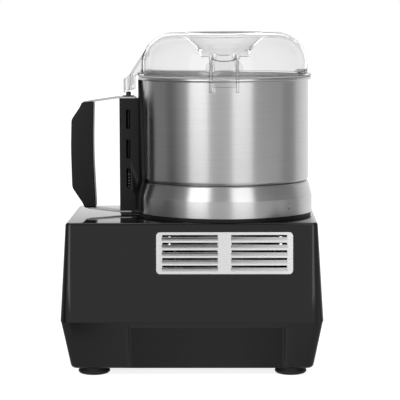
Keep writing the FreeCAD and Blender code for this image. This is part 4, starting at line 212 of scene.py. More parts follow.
@dataclass(frozen=True)
class BrushedMetal:
    """Metal with a directional brushing: fine lines, and highlights drawn out across them.

    Real brush lines are 0.1 to 0.3 mm apart. They are drawn coarser, as line_mm says, so that they
    show from the photo's distance.
    """

    name: str
    colour: str
    roughness: float = 0.3
    lay: Lay = Lay.AROUND
    line_mm: float = 1.4
    relief_mm: float = 0.006
    streak: float = 0.10
    anisotropy: float = 0.0
    contrast: float = 0.12
    edge_mm: float = 0.3

    def make(self) -> bpy.types.Material:
        """Builds the material.

        Returns:
            The material.
        """
        material, tree = start_material(self.name)
        place = object_place(tree)
        if self.lay is Lay.AROUND:
            split = add_node(tree, "ShaderNodeSeparateXYZ", {}, {0: place})
            turn = add_node(tree, "ShaderNodeMath", {"operation": "ARCTAN2"}, {
                0: split.outputs["Y"], 1: split.outputs["X"]})
            along = add_node(tree, "ShaderNodeMath", {"operation": "MULTIPLY"}, {
                0: turn.outputs["Value"], 1: ROUND_STRETCH})
            flat = add_node(tree, "ShaderNodeVectorMath", {"operation": "LENGTH"}, {
                0: add_node(tree, "ShaderNodeCombineXYZ", {}, {
                    0: split.outputs["X"], 1: split.outputs["Y"]}).outputs["Vector"]})
            pattern = add_node(tree, "ShaderNodeCombineXYZ", {}, {
                0: along.outputs["Value"], 1: flat.outputs["Value"],
                2: split.outputs["Z"]}).outputs["Vector"]
        else:
            pattern = add_node(tree, "ShaderNodeMapping", {}, {
                "Vector": place,
                "Scale": tuple(s / STRETCH for s in self.lay.value)}).outputs["Vector"]
        lines = add_node(tree, "ShaderNodeTexNoise", {}, {
            "Vector": pattern, "Scale": 1.0 / (self.line_mm * MM), "Detail": 3.0,
            "Roughness": 0.65})
        cloud = add_node(tree, "ShaderNodeTexNoise", {}, {
            "Vector": place, "Scale": 16.0, "Detail": 3.0})
        both = add_node(tree, "ShaderNodeMath", {"operation": "MULTIPLY_ADD"}, {
            0: cloud.outputs["Fac"], 1: 0.4, 2: lines.outputs["Fac"]})
        dull = add_node(tree, "ShaderNodeMapRange", {}, {
            "Value": both.outputs["Value"], 1: 0.4, 2: 1.0,
            3: self.roughness, 4: self.roughness + self.streak})
        tint = tinted(tree, self.colour, self.contrast, lines.outputs["Fac"])
        edge = add_node(tree, "ShaderNodeBevel", {"samples": 6}, {"Radius": self.edge_mm * MM})
        relief = add_node(tree, "ShaderNodeBump", {}, {
            "Height": lines.outputs["Fac"], "Distance": self.relief_mm * MM, "Strength": 0.5,
            "Normal": edge.outputs["Normal"]})
        inputs = {
            "Base Color": tint, "Metallic": 1.0,
            "Roughness": dull.outputs["Result"], "Normal": relief.outputs["Normal"]}
        if self.anisotropy:
            inputs["Anisotropic"] = self.anisotropy
            inputs["Tangent"] = add_node(tree, "ShaderNodeTangent", {
                "direction_type": "UV_MAP", "uv_map": "turned"}).outputs["Tangent"]
        shader = add_node(tree, "ShaderNodeBsdfPrincipled", {}, inputs)
        add_node(tree, "ShaderNodeOutputMaterial", {}, {"Surface": shader.outputs["BSDF"]})
        return material


@dataclass(frozen=True)
class ClearPlastic:
    """Clear moulded plastic: painted grey shade at edges and slants, faint flow lines, smoky where
    thick.
    """

    name: str
    colour: str
    roughness: float = 0.0
    ior: float = 1.12
    depth: float = 24.0
    # Width of the painted grey shade along edges
    edge_mm: float = 1.3

    def make(self) -> bpy.types.Material:
        """Builds the material.

        Returns:
            The material.
        """
        material, tree = start_material(self.name)
        place = object_place(tree)
        wave = add_node(tree, "ShaderNodeTexNoise", {}, {
            "Vector": place, "Scale": 30.0, "Detail": 1.0})
        relief = add_node(tree, "ShaderNodeBump", {}, {
            "Height": wave.outputs["Fac"], "Distance": 0.05 * MM, "Strength": 0.1})
        haze = add_node(tree, "ShaderNodeMapRange", {}, {
            "Value": wave.outputs["Fac"], 1: 0.35, 2: 0.65,
            3: self.roughness, 4: self.roughness + 0.015})
        # Painted shade: the colour turns dark grey along edges, where the bevelled normal leaves
        # the face's own, and where the surface slants away from the view. It stands for the
        # darkening that refraction gives there
        edge = add_node(tree, "ShaderNodeBevel", {"samples": 8}, {"Radius": self.edge_mm * MM})
        face = add_node(tree, "ShaderNodeNewGeometry")
        flat = add_node(tree, "ShaderNodeVectorMath", {"operation": "DOT_PRODUCT"}, {
            0: edge.outputs["Normal"], 1: face.outputs["Normal"]})
        rim = add_node(tree, "ShaderNodeMapRange", {}, {
            "Value": flat.outputs["Value"], 1: 0.80, 2: 0.985, 3: 1.0, 4: 0.0})
        slant = add_node(tree, "ShaderNodeLayerWeight", {}, {"Blend": 0.5})
        outline = add_node(tree, "ShaderNodeMapRange", {}, {
            "Value": slant.outputs["Facing"], 1: 0.76, 2: 1.0, 3: 0.0, 4: 0.9})
        dark = add_node(tree, "ShaderNodeMath", {"operation": "MAXIMUM"}, {
            0: rim.outputs["Result"], 1: outline.outputs["Result"]})
        # Painted shade colour: the dark grey mixed in at edges and slants
        tint = add_node(tree, "ShaderNodeMix", {"data_type": "RGBA"}, {
            "Factor": dark.outputs["Value"], 6: linear(self.colour), 7: linear("343434")})
        shader = add_node(tree, "ShaderNodeBsdfPrincipled", {}, {
            "Base Color": tint.outputs[2], "Roughness": haze.outputs["Result"],
            "IOR": self.ior, "Transmission Weight": 1.0, "Coat Weight": 0.3,
            "Coat Roughness": 0.0, "Coat IOR": 1.4, "Normal": relief.outputs["Normal"]})
        smoke = add_node(tree, "ShaderNodeVolumeAbsorption", {}, {
            "Color": (0.5, 0.5, 0.5, 1.0), "Density": self.depth})
        add_node(tree, "ShaderNodeOutputMaterial", {}, {
            "Surface": shader.outputs["BSDF"], "Volume": smoke.outputs["Volume"]})
        return material


class Finishes:
    """Every finish of the machine, made once and found by the record's slot."""

    KINDS: tuple[Union[MouldedPlastic, BrushedMetal, ClearPlastic], ...] = (
        # Moulded in a polished tool: a black that mirrors the studio
        MouldedPlastic("base_gloss", "0f1013", 0.05, 1.6, 0.004, 1.45, 0.03),
        # The same plastic from an etched tool: satin black, no reflections
        MouldedPlastic("base_lower", "0f0f11", 0.28, 1.2, 0.015, 1.45),
        # Moulded rubber: dull, the deepest matt
        MouldedPlastic("foot_rubber", "161616", 0.6, 0.8, 0.05, 1.45),
        # Turned steel: small bright points
        BrushedMetal("screw_steel", "b8b8ba", 0.3, Lay.ALONG_X, 0.5),
        # Pressed and brushed sheet: pale satin bands along its length
        BrushedMetal("grille_metal", "eeeeee", 0.24, Lay.ALONG_X, 1.2, 0.012, 0.06, 0.0, 0.06),
        # Moulded, fine grain: a grey a little lighter than the housing
        MouldedPlastic("bezel_plastic", "2c2c2e", 0.35),
        # Through-dyed moulded caps: plain soft-shining colours
        MouldedPlastic("start_green", "1f7a3a", 0.3),
        MouldedPlastic("stop_red", "a8201c", 0.3),
        MouldedPlastic("pulse_grey", "8a8b8e", 0.35),
        # Glass laminate under lacquer: green, half dull
        MouldedPlastic("board_laminate", "1f5a34", 0.4),
        # Moulded case: pale and half dull
        MouldedPlastic("capacitor_case", "c9c9c6", 0.4),
        # Moulded housings and gland: plain dark plastic
        MouldedPlastic("switch_black", "202022", 0.4),
        MouldedPlastic("gland_nylon", "232324", 0.42),
        # Stacked punched sheet: dark, with fine rings
        BrushedMetal("lamination_steel", "6a6a6c", 0.45, Lay.AROUND, 0.7),
        # Wound enamelled wire: warm rings
        BrushedMetal("winding_copper", "b0602c", 0.35, Lay.AROUND, 1.0),
        # Die casting: pale grey and dull
        BrushedMetal("cast_aluminium", "a9abad", 0.5, Lay.AROUND, 2.0),
        # Ground steel: the brightest rings, with fine turning marks on the shaft
        BrushedMetal("bearing_steel", "c8c8c8", 0.18, Lay.AROUND, 0.6),
        BrushedMetal("shaft_steel", "bdbdbf", 0.22, Lay.AROUND, 0.5),
        # Moulded nylon: half dull black
        MouldedPlastic("fan_nylon", "1c1c1e", 0.45),
        # Turned aluminium: soft rings
        BrushedMetal("seat_aluminium", "b4b5b6", 0.32, Lay.AROUND, 0.8),
        # Moulded rubber: dull black
        MouldedPlastic("seal_rubber", "181818", 0.55),
        # Partly painted shade: the ring's black without a shine also stands for the shade in the
        # gap under the skirt
        # Moulded nylon: black without a shine, as the photo shows it
        MouldedPlastic("ring_nylon", "0b0b0c", 0.5, 1.2, 0.02, 1.35),
        # Spun and brushed stainless steel: tall soft bright bands. Lines 1.7 mm, coarser than real
        BrushedMetal("bowl_steel", "c7c6c6", 0.27, Lay.AROUND, 1.7, 0.004, 0.05, 0.85, 0.10),
        # Grained moulding: black with only a faint shine
        MouldedPlastic("handle_plastic", "0e0e0f", 0.36, 0.9, 0.03, 1.32),
        # Turned acetal: smooth dark plastic
        MouldedPlastic("rod_acetal", "1c1c1d", 0.35),
        # Nickel plating: bright and warm
        BrushedMetal("magnet_nickel", "c6c4be", 0.2, Lay.ALONG_Z, 0.6),
        # Moulded nylon: dull black
        MouldedPlastic("bush_nylon", "1b1b1c", 0.4),
        # Drawn wire: bright lines round each coil
        BrushedMetal("spring_steel", "9c9c9e", 0.3, Lay.AROUND, 0.5),
        # Bent satin strip: pale, with lines along its length
        BrushedMetal("strap_steel", "b9babb", 0.32, Lay.ALONG_X, 0.6),
        # Moulded nylon: dark grey, half dull
        MouldedPlastic("hub_nylon", "29292c", 0.33),
        # Ground blades: bright, with lines across
        BrushedMetal("blade_steel", "d0d0ce", 0.2, Lay.ALONG_Y, 0.8),
        # Moulded silicone: a pale milky ring
        MouldedPlastic("lid_seal_silicone", "c2c4c6", 0.4),
        # Moulded clear plastic: seen through, with painted grey shade as outlines at edges and
        # slants
        ClearPlastic("lid_clear", "fbfbfb"),
    )

    def __init__(self) -> None:
        """Makes the materials."""
        self.made = {kind.name: kind.make() for kind in self.KINDS}

    def dress(self, piece: bpy.types.Object, slot: str) -> None:
        """Gives a piece one finish.

        Args:
            piece: The piece, new or from the CAD model.
            slot: The record's slot name.
        """
        piece.data.materials.clear()
        piece.data.materials.append(self.made[slot])


RECORD = frame["record"]
SLOT_OF = {part["node"]: part["material_slot"] for part in RECORD["subparts"]}
BODY_OF = {
    node: body for body, nodes in RECORD["behaviour"]["bodies"].items() for node in nodes}


def finish_piece(
    name: str,
    mesh: bmesh.types.BMesh,
    finishes: Finishes,
    nodes: Sequence[str],
    sharp_degrees: float = 32.0,
) -> bpy.types.Object:
    """Turns a bmesh into a piece that rides on its body and stands for CAD nodes.

    Args:
        name: The piece's name.
        mesh: The bmesh, which is freed.
        finishes: The machine's finishes.
        nodes: CAD nodes that it replaces; the first gives its body and slot.
        sharp_degrees: Edges that turn by more than this stay sharp.

    Returns:
        The piece.
    """
    data = bpy.data.meshes.new(name)
    mesh.to_mesh(data)
    mesh.free()
    piece = bpy.data.objects.new(name, data)
    bpy.context.scene.collection.objects.link(piece)
    data.shade_smooth()
    data.set_sharp_from_angle(angle=math.radians(sharp_degrees))
    finishes.dress(piece, SLOT_OF[nodes[0]])
    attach(piece, BODY_OF[nodes[0]])
    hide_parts(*nodes)
    LOG.info("%s: %d faces on %s", name, len(data.polygons), BODY_OF[nodes[0]])
    return piece


def merged_copy(node: str) -> bmesh.types.BMesh:
    """A copy of a CAD node's mesh with its loose triangles joined.

    Args:
        node: The CAD node.

    Returns:
        The bmesh.
    """
    mesh = bmesh.new()
    mesh.from_mesh(frame["nodes"][node].data)
    bmesh.ops.remove_doubles(mesh, verts=mesh.verts, dist=WELD)
    bmesh.ops.dissolve_limit(
        mesh, angle_limit=math.radians(0.05), verts=mesh.verts, edges=mesh.edges)
    return mesh


@dataclass
class Bend:
    """A corner of a section: its place across and up in millimetres, and its rounding."""

    across: float
    up: float
    r: float = 0.0


def wire(mesh: bmesh.types.BMesh, bends: Sequence[Bend], steps: int = 6) -> None:
    """Draws a closed section in the XZ plane and rounds its corners.

    Args:
        mesh: The bmesh to draw in.
        bends: The section's corners in order.
        steps: Segments of each rounding.
    """
    verts = [mesh.verts.new((b.across * MM, 0.0, b.up * MM)) for b in bends]
    for index, vert in enumerate(verts):
        mesh.edges.new((vert, verts[(index + 1) % len(verts)]))
    for index, bend in enumerate(bends):
        if not bend.r:
            continue
        before = Vector((bends[index - 1].across - bend.across, bends[index - 1].up - bend.up))
        after_bend = bends[(index + 1) % len(bends)]
        after = Vector((after_bend.across - bend.across, after_bend.up - bend.up))
        reach = bend.r / math.tan(before.angle(after) / 2)
        bmesh.ops.bevel(
            mesh, geom=[verts[index]], offset=reach * MM, offset_type="OFFSET", segments=steps,
            profile=0.5, affect="VERTICES", clamp_overlap=False, material=-1)


def spun(bends: Sequence[Bend], turns: int = 128, steps: int = 6) -> bmesh.types.BMesh:
    """Spins a closed section about the drive axis.

    Args:
        bends: The section's corners: radius and height.
        turns: Segments of the full turn.
        steps: Segments of each rounding.

    Returns:
        The bmesh, closed and facing outwards, with a turned UV map.
    """
    mesh = bmesh.new()
    wire(mesh, bends, steps)
    bmesh.ops.spin(
        mesh, geom=mesh.verts[:] + mesh.edges[:], cent=(0, 0, 0), axis=(0, 0, 1),
        dvec=(0, 0, 0), angle=math.tau, steps=turns, use_merge=True)
    bmesh.ops.remove_doubles(mesh, verts=mesh.verts, dist=WELD)
    bmesh.ops.recalc_face_normals(mesh, faces=mesh.faces)
    turned_map(mesh)
    bmesh.ops.translate(mesh, verts=mesh.verts, vec=(AXIS_X, 0, 0))
    return mesh


def turned_map(mesh: bmesh.types.BMesh) -> None:
    """Writes a UV map that runs up the piece first and round the drive axis, at zero, second.

    Args:
        mesh: The bmesh.
    """
    layer = mesh.loops.layers.uv.new("turned")
    for face in mesh.faces:
        middle = face.calc_center_median()
        centre_angle = math.atan2(middle.y, middle.x)
        for loop in face.loops:
            place = loop.vert.co
            angle = math.atan2(place.y, place.x)
            while angle - centre_angle > math.pi:
                angle -= math.tau
            while angle - centre_angle < -math.pi:
                angle += math.tau
            rise = place.z + Vector((place.x, place.y)).length
            loop[layer].uv = (rise, angle / math.tau)


@dataclass(frozen=True)
class SoftBox:
    """A lamp: bearing in degrees from the camera's side, place and size in metres, power."""

    name: str
    bearing: float
    far: float
    high: float
    wide: float
    tall: float
    watts: float


@dataclass
class Studio:
    """A pale floor, a white backdrop, a soft box either side of the camera and one overhead."""

    camera_place: tuple[float, float, float] = (0.0483, -2.300, 0.4234)
    pitch: float = -5.59
    yaw: float = 0.995
    roll: float = -0.2
    lens: float = 171.0
    screens: tuple[tuple[float, float], ...] = (
        (-180.0, 1.0), (-134.0, 1.0), (-121.0, 0.35), (-100.0, 0.27), (-74.0, 0.28),
        (-65.0, 0.46), (-52.0, 0.60), (-20.0, 0.77), (10.0, 0.77), (40.0, 0.55), (60.0, 0.50),
        (75.0, 0.38), (107.0, 0.38), (116.0, 0.72), (134.0, 0.95), (180.0, 1.0))
    boxes: tuple[SoftBox, ...] = (
        SoftBox("left_box", -35.0, 1.7, 0.76, 0.88, 1.5, 8.6),
        SoftBox("right_box", 24.0, 1.7, 0.76, 0.88, 1.5, 7.0),
        SoftBox("top_box", 180.0, 0.35, 1.9, 1.4, 1.2, 8.0))
    aim_high: float = 0.24
    floor_half: float = 12.0

    def build(self) -> None:
        """Makes the floor, the world, the lamps and the camera."""
        self.build_floor()
        self.build_world()
        self.build_lamps()
        self.build_camera()

    def build_camera(self) -> None:
        """Stands the camera where the photo was taken from."""
        data = bpy.data.cameras.new("camera")
        data.lens = self.lens
        data.sensor_width = 36.0
        data.clip_end = 60.0
        camera = bpy.data.objects.new("camera", data)
        bpy.context.scene.collection.objects.link(camera)
        turn = (
            Matrix.Rotation(math.radians(self.yaw), 4, "Z")
            @ Matrix.Rotation(math.radians(90.0 + self.pitch), 4, "X")
            @ Matrix.Rotation(math.radians(self.roll), 4, "Z"))
        camera.matrix_world = Matrix.Translation(self.camera_place) @ turn
        bpy.context.scene.camera = camera

    def bounced(self, tree: bpy.types.NodeTree) -> bpy.types.NodeSocket:
        """A factor of one for rays that a shiny surface mirrors or lets through.

        Args:
            tree: The node tree.

        Returns:
            The factor's socket.
        """
        path = add_node(tree, "ShaderNodeLightPath")
        return add_node(tree, "ShaderNodeMath", {"operation": "MAXIMUM"}, {
            0: path.outputs["Is Glossy Ray"],
            1: path.outputs["Is Transmission Ray"]}).outputs["Value"]

    def surround(
        self, tree: bpy.types.NodeTree, way: bpy.types.NodeSocket,
    ) -> bpy.types.NodeSocket:
        """The studio's brightness all round the machine: white behind it, grey screens beside it.

        Args:
            tree: The node tree.
            way: A direction or place as seen from the machine.

        Returns:
            The colour socket.
        """
        split = add_node(tree, "ShaderNodeSeparateXYZ", {}, {0: way})
        ahead = add_node(tree, "ShaderNodeMath", {"operation": "MULTIPLY"}, {
            0: split.outputs["Y"], 1: -1.0})
        turn = add_node(tree, "ShaderNodeMath", {"operation": "ARCTAN2"}, {
            0: split.outputs["X"], 1: ahead.outputs["Value"]})
        share = add_node(tree, "ShaderNodeMapRange", {}, {
            "Value": turn.outputs["Value"], 1: -math.pi, 2: math.pi, 3: 0.0, 4: 1.0})
        ramp = add_node(tree, "ShaderNodeValToRGB", {}, {0: share.outputs["Result"]})
        while len(ramp.color_ramp.elements) < len(self.screens):
            ramp.color_ramp.elements.new(0.5)
        for element, (angle, level) in zip(ramp.color_ramp.elements, self.screens):
            element.position = (angle + 180.0) / 360.0
            element.color = (level, level, level, 1.0)
        shade = add_node(tree, "ShaderNodeMapRange", {}, {
            "Value": split.outputs["Z"], 1: 0.12, 2: 0.36, 3: 1.0, 4: 0.55})
        return add_node(tree, "ShaderNodeVectorMath", {"operation": "SCALE"}, {
            0: ramp.outputs["Color"], "Scale": shade.outputs["Result"]}).outputs["Vector"]

    def build_floor(self) -> None:
        """Lays a wide pale floor that keeps a soft shadow.

        Rays that a surface mirrors see a band in front of the machine that is dark at its left and
        light at its right, as the photo's louvres show it, and the studio's levels elsewhere.
        """
        mesh = bmesh.new()
        bmesh.ops.create_grid(mesh, x_segments=1, y_segments=1, size=self.floor_half)
        data = bpy.data.meshes.new("floor")
        mesh.to_mesh(data)
        mesh.free()
        floor = bpy.data.objects.new("floor", data)
        bpy.context.scene.collection.objects.link(floor)
        material, tree = start_material("pale_floor")
        path = add_node(tree, "ShaderNodeLightPath")
        lift = add_node(tree, "ShaderNodeMath", {"operation": "MULTIPLY"}, {
            0: path.outputs["Is Camera Ray"], 1: 0.85})
        glow = add_node(tree, "ShaderNodeEmission", {}, {
            "Color": (1.0, 1.0, 1.0, 1.0), "Strength": lift.outputs["Value"]})
        pale = add_node(tree, "ShaderNodeBsdfDiffuse", {}, {"Color": linear("c4c4c4")})
        lit = add_node(tree, "ShaderNodeAddShader", {}, {
            0: glow.outputs["Emission"], 1: pale.outputs["BSDF"]})
        place = object_place(tree)
        split = add_node(tree, "ShaderNodeSeparateXYZ", {}, {0: place})
        # Painted reflection: for mirrored rays only, a band of floor just in front of the machine
        # glows dark at its left and light at its right
        painted_reflection_level = add_node(tree, "ShaderNodeMapRange", {}, {
            "Value": split.outputs["X"], 1: -0.01, 2: 0.08, 3: 0.03, 4: 0.74})
        under = add_node(tree, "ShaderNodeMapRange", {}, {
            "Value": split.outputs["Y"], 1: -0.205, 2: -0.190, 3: 0.0, 4: 1.0})
        beyond = add_node(tree, "ShaderNodeMapRange", {}, {
            "Value": split.outputs["Y"], 1: -0.60, 2: -0.42, 3: 1.0, 4: 0.0})
        away = add_node(tree, "ShaderNodeMath", {"operation": "MAXIMUM"}, {
            0: under.outputs["Result"], 1: beyond.outputs["Result"]})
        bounce = add_node(tree, "ShaderNodeMix", {"data_type": "RGBA"}, {
            "Factor": away.outputs["Value"], 6: painted_reflection_level.outputs["Result"],
            7: self.surround(tree, place)})
        mirrored = add_node(tree, "ShaderNodeEmission", {}, {
            "Color": bounce.outputs[2], "Strength": 1.0})
        both = add_node(tree, "ShaderNodeMixShader", {}, {
            0: self.bounced(tree), 1: lit.outputs["Shader"], 2: mirrored.outputs["Emission"]})
        add_node(tree, "ShaderNodeOutputMaterial", {}, {"Surface": both.outputs["Shader"]})
        data.materials.append(material)

    def build_world(self) -> None:
        """Paints the world: white when seen, a studio when mirrored, grey as fill light."""
        world = bpy.data.worlds.new("studio")
        bpy.context.scene.world = world
        world.use_nodes = True
        tree = world.node_tree
        tree.nodes.clear()
        path = add_node(tree, "ShaderNodeLightPath")
        way = add_node(tree, "ShaderNodeTexCoord")
        room = add_node(tree, "ShaderNodeMix", {"data_type": "RGBA"}, {
            "Factor": self.bounced(tree), 6: (0.50, 0.50, 0.51, 1.0),
            7: self.surround(tree, way.outputs["Generated"])})
        through = add_node(tree, "ShaderNodeMath", {"operation": "MAXIMUM"}, {
            0: path.outputs["Is Camera Ray"], 1: path.outputs["Is Transmission Ray"]})
        colour = add_node(tree, "ShaderNodeMix", {"data_type": "RGBA"}, {
            "Factor": through.outputs["Value"], 6: room.outputs[2], 7: (1.0, 1.0, 1.0, 1.0)})
        shade = add_node(tree, "ShaderNodeBackground", {}, {
            "Color": colour.outputs[2], "Strength": 1.0})
        add_node(tree, "ShaderNodeOutputWorld", {}, {"Surface": shade.outputs["Background"]})

    def build_lamps(self) -> None:
        """Hangs the soft boxes."""
        target = Vector((AXIS_X, 0.0, self.aim_high))
        for box in self.boxes:
            data = bpy.data.lights.new(box.name, "AREA")
            data.shape = "RECTANGLE"
            data.size = box.wide
            data.size_y = box.tall
            data.energy = box.watts
            lamp = bpy.data.objects.new(box.name, data)
            bpy.context.scene.collection.objects.link(lamp)
            angle = math.radians(box.bearing)
            place = Vector((
                AXIS_X + math.sin(angle) * box.far, -math.cos(angle) * box.far, box.high))
            turn = (target - place).to_track_quat("-Z", "Y").to_matrix().to_4x4()
            lamp.matrix_world = Matrix.Translation(place) @ turn


@dataclass
class Bowl:
    """The spun steel bowl and its flared skirt."""

    wall_r: float = 101.0
    sheet: float = 1.2
    floor: float = 223.4
    corner_r: float = 4.5
    rim_r: float = 104.6
    rim_low: float = 344.9
    rim_top: float = 348.9
    bead_r: float = 1.7
    tube_bore: float = 16.5
    tube_top: float = 264.4
    skirt_sheet: float = 1.5
    skirt_top_r: float = 100.8
    skirt_r: float = 105.3
    flare: float = 206.0
    skirt_low: float = 185.7
    skirt_flange: float = 34.8

    def build(self, finishes: Finishes) -> None:
        """Builds the bowl and its skirt.

        Args:
            finishes: The machine's finishes.
        """
        inner = self.wall_r - self.sheet
        tube = self.tube_bore + self.sheet
        shell = spun([
            Bend(self.tube_bore, self.floor), Bend(self.wall_r, self.floor, self.corner_r),
            Bend(self.wall_r, self.rim_low, 0.6), Bend(self.rim_r, self.rim_low, self.bead_r),
            Bend(self.rim_r, self.rim_top, self.bead_r), Bend(inner, self.rim_top, self.bead_r),
            Bend(inner, self.floor + self.sheet, self.corner_r - self.sheet),
            Bend(tube, self.floor + self.sheet, 2.5), Bend(tube, self.tube_top, 0.4),
            Bend(self.tube_bore, self.tube_top, 0.4)], 160)
        finish_piece("spun_bowl", shell, finishes, ["bowl_shell"])
        flange_r = self.skirt_top_r - self.skirt_flange
        inside = self.skirt_r - self.skirt_sheet
        under = self.floor - self.skirt_sheet
        skirt = spun([
            Bend(flange_r, self.floor), Bend(self.skirt_top_r, self.floor, 2.5),
            Bend(self.skirt_r, self.flare, 1.2), Bend(self.skirt_r, self.skirt_low, 0.5),
            Bend(inside, self.skirt_low, 0.5), Bend(inside, self.flare),
            Bend(self.skirt_top_r - self.skirt_sheet, under, 1.0), Bend(flange_r, under)], 160)
        finish_piece("flared_skirt", skirt, finishes, ["bowl_skirt"])


@dataclass
class Feet:
    """Four turned rubber feet, each with the well of its screw."""

    out_x: float = 116.3
    out_y: float = 78.0
    high: float = 9.0
    widest: float = 18.7
    neck: float = 17.0
    sole: float = 14.0
    well: float = 5.1
    well_deep: float = 4.6
    hole: float = 2.3

    def build(self, finishes: Finishes) -> None:
        """Builds the feet.

        Args:
            finishes: The machine's finishes.
        """
        for name, side_x, side_y in (
                ("foot_front_left", -1, 1), ("foot_front_right", -1, -1),
                ("foot_back_left", 1, 1), ("foot_back_right", 1, -1)):
            foot = spun([
                Bend(self.sole, 0.0), Bend(self.widest - 1.8, 0.9, 0.8),
                Bend(self.widest, 2.7, 1.0), Bend(self.widest, 4.5, 1.0),
                Bend(self.neck, 6.75, 0.8), Bend(self.neck, self.high),
                Bend(self.hole, self.high), Bend(self.hole, self.well_deep),
                Bend(self.well, self.well_deep), Bend(self.well, 0.0, 0.3)], 64, 4)
            shift = (side_x * self.out_x * MM - AXIS_X, side_y * self.out_y * MM, 0.0)
            bmesh.ops.translate(foot, verts=foot.verts, vec=shift)
            finish_piece(f"{name}_turned", foot, finishes, [name], sharp_degrees=50.0)


@dataclass
class VentGrille:
    """A pressed sheet-metal grille: a flat plate with two columns of louvres that open upwards."""

    long: float = 159.1
    high: float = 48.8
    thick: float = 1.6
    corner: float = 4.5
    rows: int = 5
    pitch: float = 8.9
    louvre_long: float = 65.6
    louvre_mid: float = 40.3
    low: float = -3.2
    lip: float = 0.8
    slot_top: float = 3.4
    proud: float = 2.1
    skin: float = 0.7
    sunk: float = 0.3
    lean: float = 3.5
    face_y: float = 106.55
    middle_z: float = 146.5
    lap: float = 0.6
    bow: float = 0.35
    bow_steps: int = 6

    def build(self, finishes: Finishes) -> None:
        """Builds the front and the rear grille.

        Args:
            finishes: The machine's finishes.
        """
        lean = Matrix.Rotation(math.radians(-self.lean), 4, "X")
        for node, yaw, side in (
                ("vent_grille_front", 0.0, -1), ("vent_grille_rear", math.pi, 1)):
            mesh = self.plate()
            for start in (-self.louvre_mid, self.louvre_mid):
                for rise in self.rises():
                    self.add_louvre(mesh, start - self.louvre_long / 2, rise)
            turn = Matrix.Rotation(yaw, 4, "Z") @ lean
            place = Matrix.Translation((AXIS_X, side * self.face_y * MM, self.middle_z * MM))
            bmesh.ops.transform(mesh, matrix=place @ turn, verts=mesh.verts)
            finish_piece(f"pressed_{node}", mesh, finishes, [node], sharp_degrees=40.0)

    def rises(self) -> list[float]:
        """The heights of the rows' middles above the plate's middle."""
        return [(row - (self.rows - 1) / 2) * self.pitch for row in range(self.rows)]

    def plate(self) -> bmesh.types.BMesh:
        """The rounded plate with its slots, standing in the XZ plane.

        Returns:
            The plate's bmesh.
        """
        mesh = bmesh.new()
        bmesh.ops.create_grid(mesh, x_segments=1, y_segments=1, size=0.5 * MM)
        bmesh.ops.scale(mesh, vec=(self.long, self.high, 1.0), verts=mesh.verts)
        bmesh.ops.rotate(
            mesh, cent=(0, 0, 0), matrix=Matrix.Rotation(math.pi / 2, 3, "X"), verts=mesh.verts)
        bmesh.ops.bevel(
            mesh, geom=mesh.verts[:], offset=self.corner * MM, offset_type="OFFSET", segments=6,
            profile=0.5, affect="VERTICES", material=-1)
        half = self.louvre_long / 2
        lines = [(x * MM, Vector((1, 0, 0))) for x in (
            -self.louvre_mid - half, -self.louvre_mid + half,
            self.louvre_mid - half, self.louvre_mid + half)]
        for rise in self.rises():
            lines += [((rise + self.lip - self.lap) * MM, Vector((0, 0, 1))),
                      ((rise + self.slot_top) * MM, Vector((0, 0, 1)))]
        for at, normal in lines:
            bmesh.ops.bisect_plane(
                mesh, geom=mesh.verts[:] + mesh.edges[:] + mesh.faces[:], dist=TINY,
                plane_co=normal * at, plane_no=normal)
        slots = [face for face in mesh.faces if self.in_slot(face.calc_center_median() / MM)]
        bmesh.ops.delete(mesh, geom=slots, context="FACES")
        bmesh.ops.recalc_face_normals(mesh, faces=mesh.faces)
        bmesh.ops.solidify(mesh, geom=mesh.faces[:], thickness=self.thick * MM)
        lowest = max(vert.co.y for vert in mesh.verts)
        bmesh.ops.translate(mesh, verts=mesh.verts, vec=(0, -lowest, 0))
        bmesh.ops.recalc_face_normals(mesh, faces=mesh.faces)
        return mesh

    def in_slot(self, at: Vector) -> bool:
        """Says whether a face of the plate lies in a slot.

        Args:
            at: The face's middle in millimetres.

        Returns:
            True for a slot.
        """
        if abs(abs(at.x) - self.louvre_mid) > self.louvre_long / 2:
            return False
        return any(
            rise + self.lip - self.lap < at.z < rise + self.slot_top for rise in self.rises())

    def add_louvre(self, mesh: bmesh.types.BMesh, start: float, rise: float) -> None:
        """Adds one hood: a bowed front with closed ends, open at its top.

        Args:
            mesh: The grille's bmesh.
            start: The hood's left end.
            rise: The middle of its row.
        """
        hood = bmesh.new()
        back = (self.sunk - self.thick) * MM
        section = []
        for step in range(self.bow_steps + 1):
            share = step / self.bow_steps
            out = self.proud * (
                (1.0 - self.bow) * share + self.bow * math.sin(share * math.pi / 2))
            section.append(hood.verts.new((
                start * MM, back - out * MM,
                (rise + self.low + (self.lip - self.low) * share) * MM)))
        section.append(hood.verts.new((start * MM, back, (rise + self.slot_top) * MM)))
        moved = bmesh.ops.extrude_face_region(hood, geom=[hood.faces.new(section)])["geom"]
        bmesh.ops.translate(
            hood, vec=(self.louvre_long * MM, 0, 0),
            verts=[item for item in moved if isinstance(item, bmesh.types.BMVert)])
        bmesh.ops.recalc_face_normals(hood, faces=hood.faces)
        opened = [face for face in hood.faces
                  if abs(face.normal.x) < 0.5 and (face.normal.z > 0.3 or face.normal.y > 0.5)]
        bmesh.ops.delete(hood, geom=opened, context="FACES")
        bmesh.ops.solidify(hood, geom=hood.faces[:], thickness=self.skin * MM)
        bmesh.ops.recalc_face_normals(hood, faces=hood.faces)
        piece = bpy.data.meshes.new("louvre")
        hood.to_mesh(piece)
        hood.free()
        mesh.from_mesh(piece)
        bpy.data.meshes.remove(piece)


